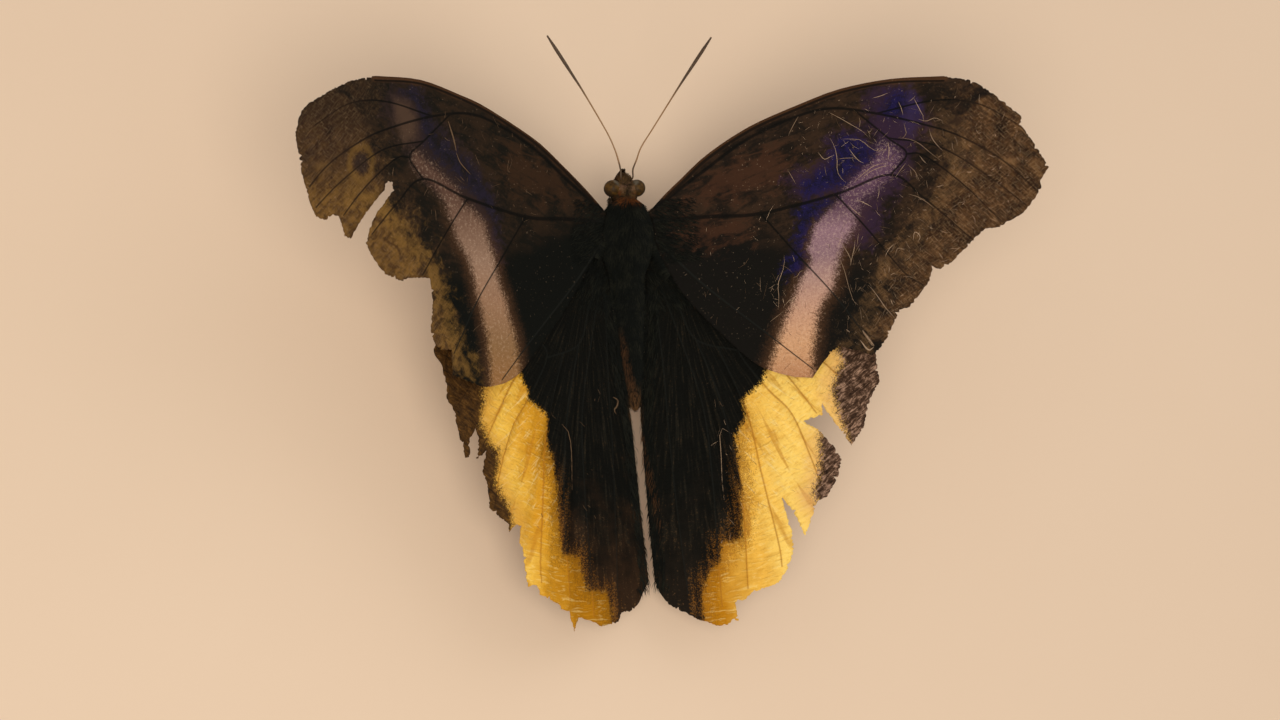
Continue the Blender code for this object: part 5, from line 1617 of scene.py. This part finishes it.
def make_antenna(side, material):
    path, radii, travelled = limb_path(ANTENNAE[side], side, ANTENNA_STEP)
    groove = np.cos(travelled * 2 * math.pi / ANTENNA_RING) > ANTENNA_GROOVE_FROM
    radii *= 1.0 - ANTENNA_RING_DEPTH * groove
    name = "antenna_" + SIDE_NAMES[side]
    make_tube(name + "_ringed", path, radii, TUBE_SIDES, travelled, material, name, "feeler_cuticle")


def make_leg(stem, limb, side, material):
    """A walking leg's last part is a row of short swollen joints."""
    path, radii, travelled = limb_path(limb, side, LEG_STEP)
    left = travelled[-1] - travelled
    tarsus = (left < TARSUS_LENGTH) & (stem != "foreleg")
    swelling = TARSUS_THIN + TARSUS_SWELL * np.abs(np.sin(left * math.pi / TARSUS_JOINT))
    radii = radii * np.where(tarsus, swelling, 1.0)
    name = stem + "_" + SIDE_NAMES[side]
    make_tube(name + "_jointed", path, radii, LEG_SIDES, travelled, material, name, "leg_cuticle")


def make_proboscis(material):
    turns = np.linspace(0, 1, PROBOSCIS_RINGS)
    reach = PROBOSCIS_OUTER + (PROBOSCIS_INNER - PROBOSCIS_OUTER) * turns
    turn = PROBOSCIS_START - 2 * math.pi * PROBOSCIS_TURNS * turns
    coil = PROBOSCIS_CENTRE + np.stack([0 * turn, reach * np.cos(turn), reach * np.sin(turn)], axis=1)
    path = np.vstack([smooth_path([*PROBOSCIS_ROOT, coil[0]], 0.12)[:-1], coil])
    travelled = length_along(path)
    taper = 1.0 - PROBOSCIS_TAPER * travelled / travelled[-1]
    groove = 1.0 - PROBOSCIS_GROOVE * (np.sin(travelled * PROBOSCIS_RIBS) > PROBOSCIS_RIB_FROM)
    radii = PROBOSCIS_THICK * taper * groove
    make_tube(
        "proboscis_coil", path, radii, PROBOSCIS_SIDES, travelled, material, "proboscis", "leg_cuticle"
    )


def cuticle_material(name, near, far, change_at):
    """A limb's horny skin, browner at its root, that changes colour part of the way along."""
    paint = Paint(name, roughness=0.5, specular=0.4)
    along = paint.attribute("along")
    root = paint.attribute("root", "Vector")
    fine = paint.noise(root, 3.0, 4.0)
    grain = paint.cells(root, 6.0)
    colour = paint.over(near, far, paint.ragged(along, fine, 0.1), change_at - 0.12, change_at + 0.12)
    colour = paint.over(colour, CUTICLE_PALE, grain, 0.5, 0.9, 0.25)
    colour = paint.over(colour, FUR_BROWN, along, 0.15, 0.1, 0.85)
    return paint.finish(colour, paint.add(fine, grain), 0.04, 0.5)


def eye_material():
    """Mottled amber, with painted shade on the side turned away from the light and a painted pale glint
    where the light strikes it.
    """
    paint = Paint("eye_facets", roughness=0.55, specular=0.12, coat=0.03)
    root = paint.attribute("root", "Vector")
    cloud = paint.noise(root, 0.9, 3.0)
    facing = paint.ragged("facing", cloud, 0.12)
    colour = paint.over(EYE_BROWN, EYE_AMBER, cloud, 0.38, 0.62)
    # Painted shade on the side turned away from the light, and a painted glint facing it
    colour = paint.over(colour, EYE_SHADE, facing, 0.2, -0.5)
    colour = paint.over(colour, EYE_GLINT_PALE, facing, 0.86, 0.99, 0.5)
    return paint.finish(colour, paint.cells(root, 10.0, "Distance"), 0.03, 0.35)


def make_eyes():
    material = eye_material()
    tilt = np.repeat(np.linspace(EYE_POLE, math.pi - EYE_POLE, EYE_ROWS), EYE_SIDES)
    spin = np.tile(full_turn(EYE_SIDES), EYE_ROWS)
    direction = np.stack([np.cos(tilt), np.sin(tilt) * np.cos(spin), np.sin(tilt) * np.sin(spin)], axis=1)
    for side in (1, -1):
        centre = EYE_CENTRE * [side, 1, 1]
        points, faces = capped(centre + direction * EYE_RADII, EYE_ROWS, EYE_SIDES)
        name = "eye_" + SIDE_NAMES[side]
        made = mesh_object(name + "_faceted", points, faces, [material])
        facing = unit(points - centre) @ (EYE_GLINT * [side, 1, 1])
        dressed(made, "eye_facets", [name], root=points, facing=facing)


def make_camera():
    """The photograph's view: its direction, distance, framing and slight roll."""
    lean, tilt = CAMERA_LEAN_RIGHT, CAMERA_LEAN_FORWARD
    forward = Vector((math.sin(lean) * math.cos(tilt), math.sin(tilt), -math.cos(lean) * math.cos(tilt)))
    level = forward.cross(Vector((0.0, 1.0, 0.0))).normalized()
    upright = level.cross(forward)
    cosine, sine = math.cos(CAMERA_ROLL), math.sin(CAMERA_ROLL)
    right = level * cosine + upright * sine
    up = upright * cosine - level * sine
    turned = Matrix((right, up, -forward)).transposed()
    place = Vector(to_metres(AIM_POINT - forward * CAMERA_DISTANCE))
    lens = bpy.data.cameras.new("camera")
    lens.sensor_width = SENSOR_WIDTH
    lens.lens = FOCAL_PIXELS * SENSOR_WIDTH / PHOTO_WIDTH
    lens.shift_x = (PHOTO_WIDTH / 2 - AIM_PIXEL[0]) / PHOTO_WIDTH
    lens.shift_y = (AIM_PIXEL[1] - PHOTO_HEIGHT / 2) / PHOTO_WIDTH
    lens.clip_start = 0.01
    camera = bpy.data.objects.new("camera", lens)
    camera.matrix_world = Matrix.Translation(place) @ turned.to_4x4()
    bpy.context.scene.collection.objects.link(camera)
    bpy.context.scene.camera = camera


FLOOR_HALF = 4.0
FLOOR_COLOUR, FLOOR_CLOUD = srgb(226, 202, 178), srgb(216, 188, 162)
LIGHTS = {
    "key": ((-0.2, -0.25, 0.7), 0.6, 3.6, (1.0, 0.94, 0.84)),
    "fill": ((0.45, 0.35, 0.5), 0.6, 0.8, (0.96, 0.97, 1.0)),
}
SKY = (1.0, 0.96, 0.9, 1.0)
SKY_STRENGTH = 0.5


def make_studio():
    """A plain pale floor, two soft lamps and a warm sky."""
    paint = Paint("floor", roughness=0.85, specular=0.2)
    where = paint.node("TexCoord", {}, "Object")
    cloud = paint.times(paint.noise(where, 9.0, 4.0), 0.5)
    colour = paint.mix(cloud, FLOOR_COLOUR, FLOOR_CLOUD)
    mesh = bpy.data.meshes.new("floor")
    corners = [(x * FLOOR_HALF, y * FLOOR_HALF, 0.0) for x, y in ((-1, -1), (1, -1), (1, 1), (-1, 1))]
    mesh.from_pydata(corners, [], [(0, 1, 2, 3)])
    mesh.materials.append(paint.finish(colour, paint.noise(where, 900.0, 3.0), 0.05, 0.2))
    floor = bpy.data.objects.new("floor", mesh)
    bpy.context.scene.collection.objects.link(floor)
    for name, (place, size, power, colour) in LIGHTS.items():
        lamp = bpy.data.lights.new(name, "AREA")
        lamp.shape = "DISK"
        lamp.size = size
        lamp.energy = power
        lamp.color = colour
        made = bpy.data.objects.new(name, lamp)
        made.location = place
        made.rotation_euler = (-Vector(place)).to_track_quat("-Z", "Y").to_euler()
        bpy.context.scene.collection.objects.link(made)
    world = bpy.data.worlds.new("studio")
    world.use_nodes = True
    background = world.node_tree.nodes["Background"]
    background.inputs["Color"].default_value = SKY
    background.inputs["Strength"].default_value = SKY_STRENGTH
    bpy.context.scene.world = world
    bpy.context.scene.view_settings.view_transform = "Standard"


def main():
    random = np.random.default_rng(SEED)
    make_camera()
    make_studio()
    under = {stem: wing_under(stem + "wing_under", rings) for stem, rings in UNDER_RINGS.items()}
    rubbed = scratch_material()
    surfaces = {}
    for side, side_name in SIDE_NAMES.items():
        for stem, upper in (("fore", forewing_upper(side)), ("hind", hindwing_upper(side))):
            name = stem + "wing_" + side_name
            surfaces[name] = make_wing(name, upper, under[stem], random)
            make_scratches(name, *surfaces[name], rubbed, random)
    fur = body_fur_material("body_fur")
    make_body_skin(fur)
    make_body_coats(fur, random)
    make_wing_hairs(surfaces, fur, random)
    make_fringe(surfaces, fur, random)
    make_eyes()
    feeler = cuticle_material("feeler_cuticle", FEELER_PALE, FEELER_DARK, 0.6)
    cuticle = cuticle_material("leg_cuticle", LEG_NEAR, LEG_FAR, 0.5)
    for side, side_name in SIDE_NAMES.items():
        make_antenna(side, feeler)
        for stem, limb in LEGS.items():
            make_leg(stem, limb, side, cuticle)
        path, radii, travelled = limb_path(PALP, side, 0.1)
        name = "palp_" + side_name
        make_tube(name + "_core", path, radii, TUBE_SIDES, travelled, cuticle, name, "body_fur")
    for name, coat in LIMB_COATS.items():
        limb_coat(name, *coat, fur, random)
    make_spines(fur, random)
    make_proboscis(cuticle)


main()
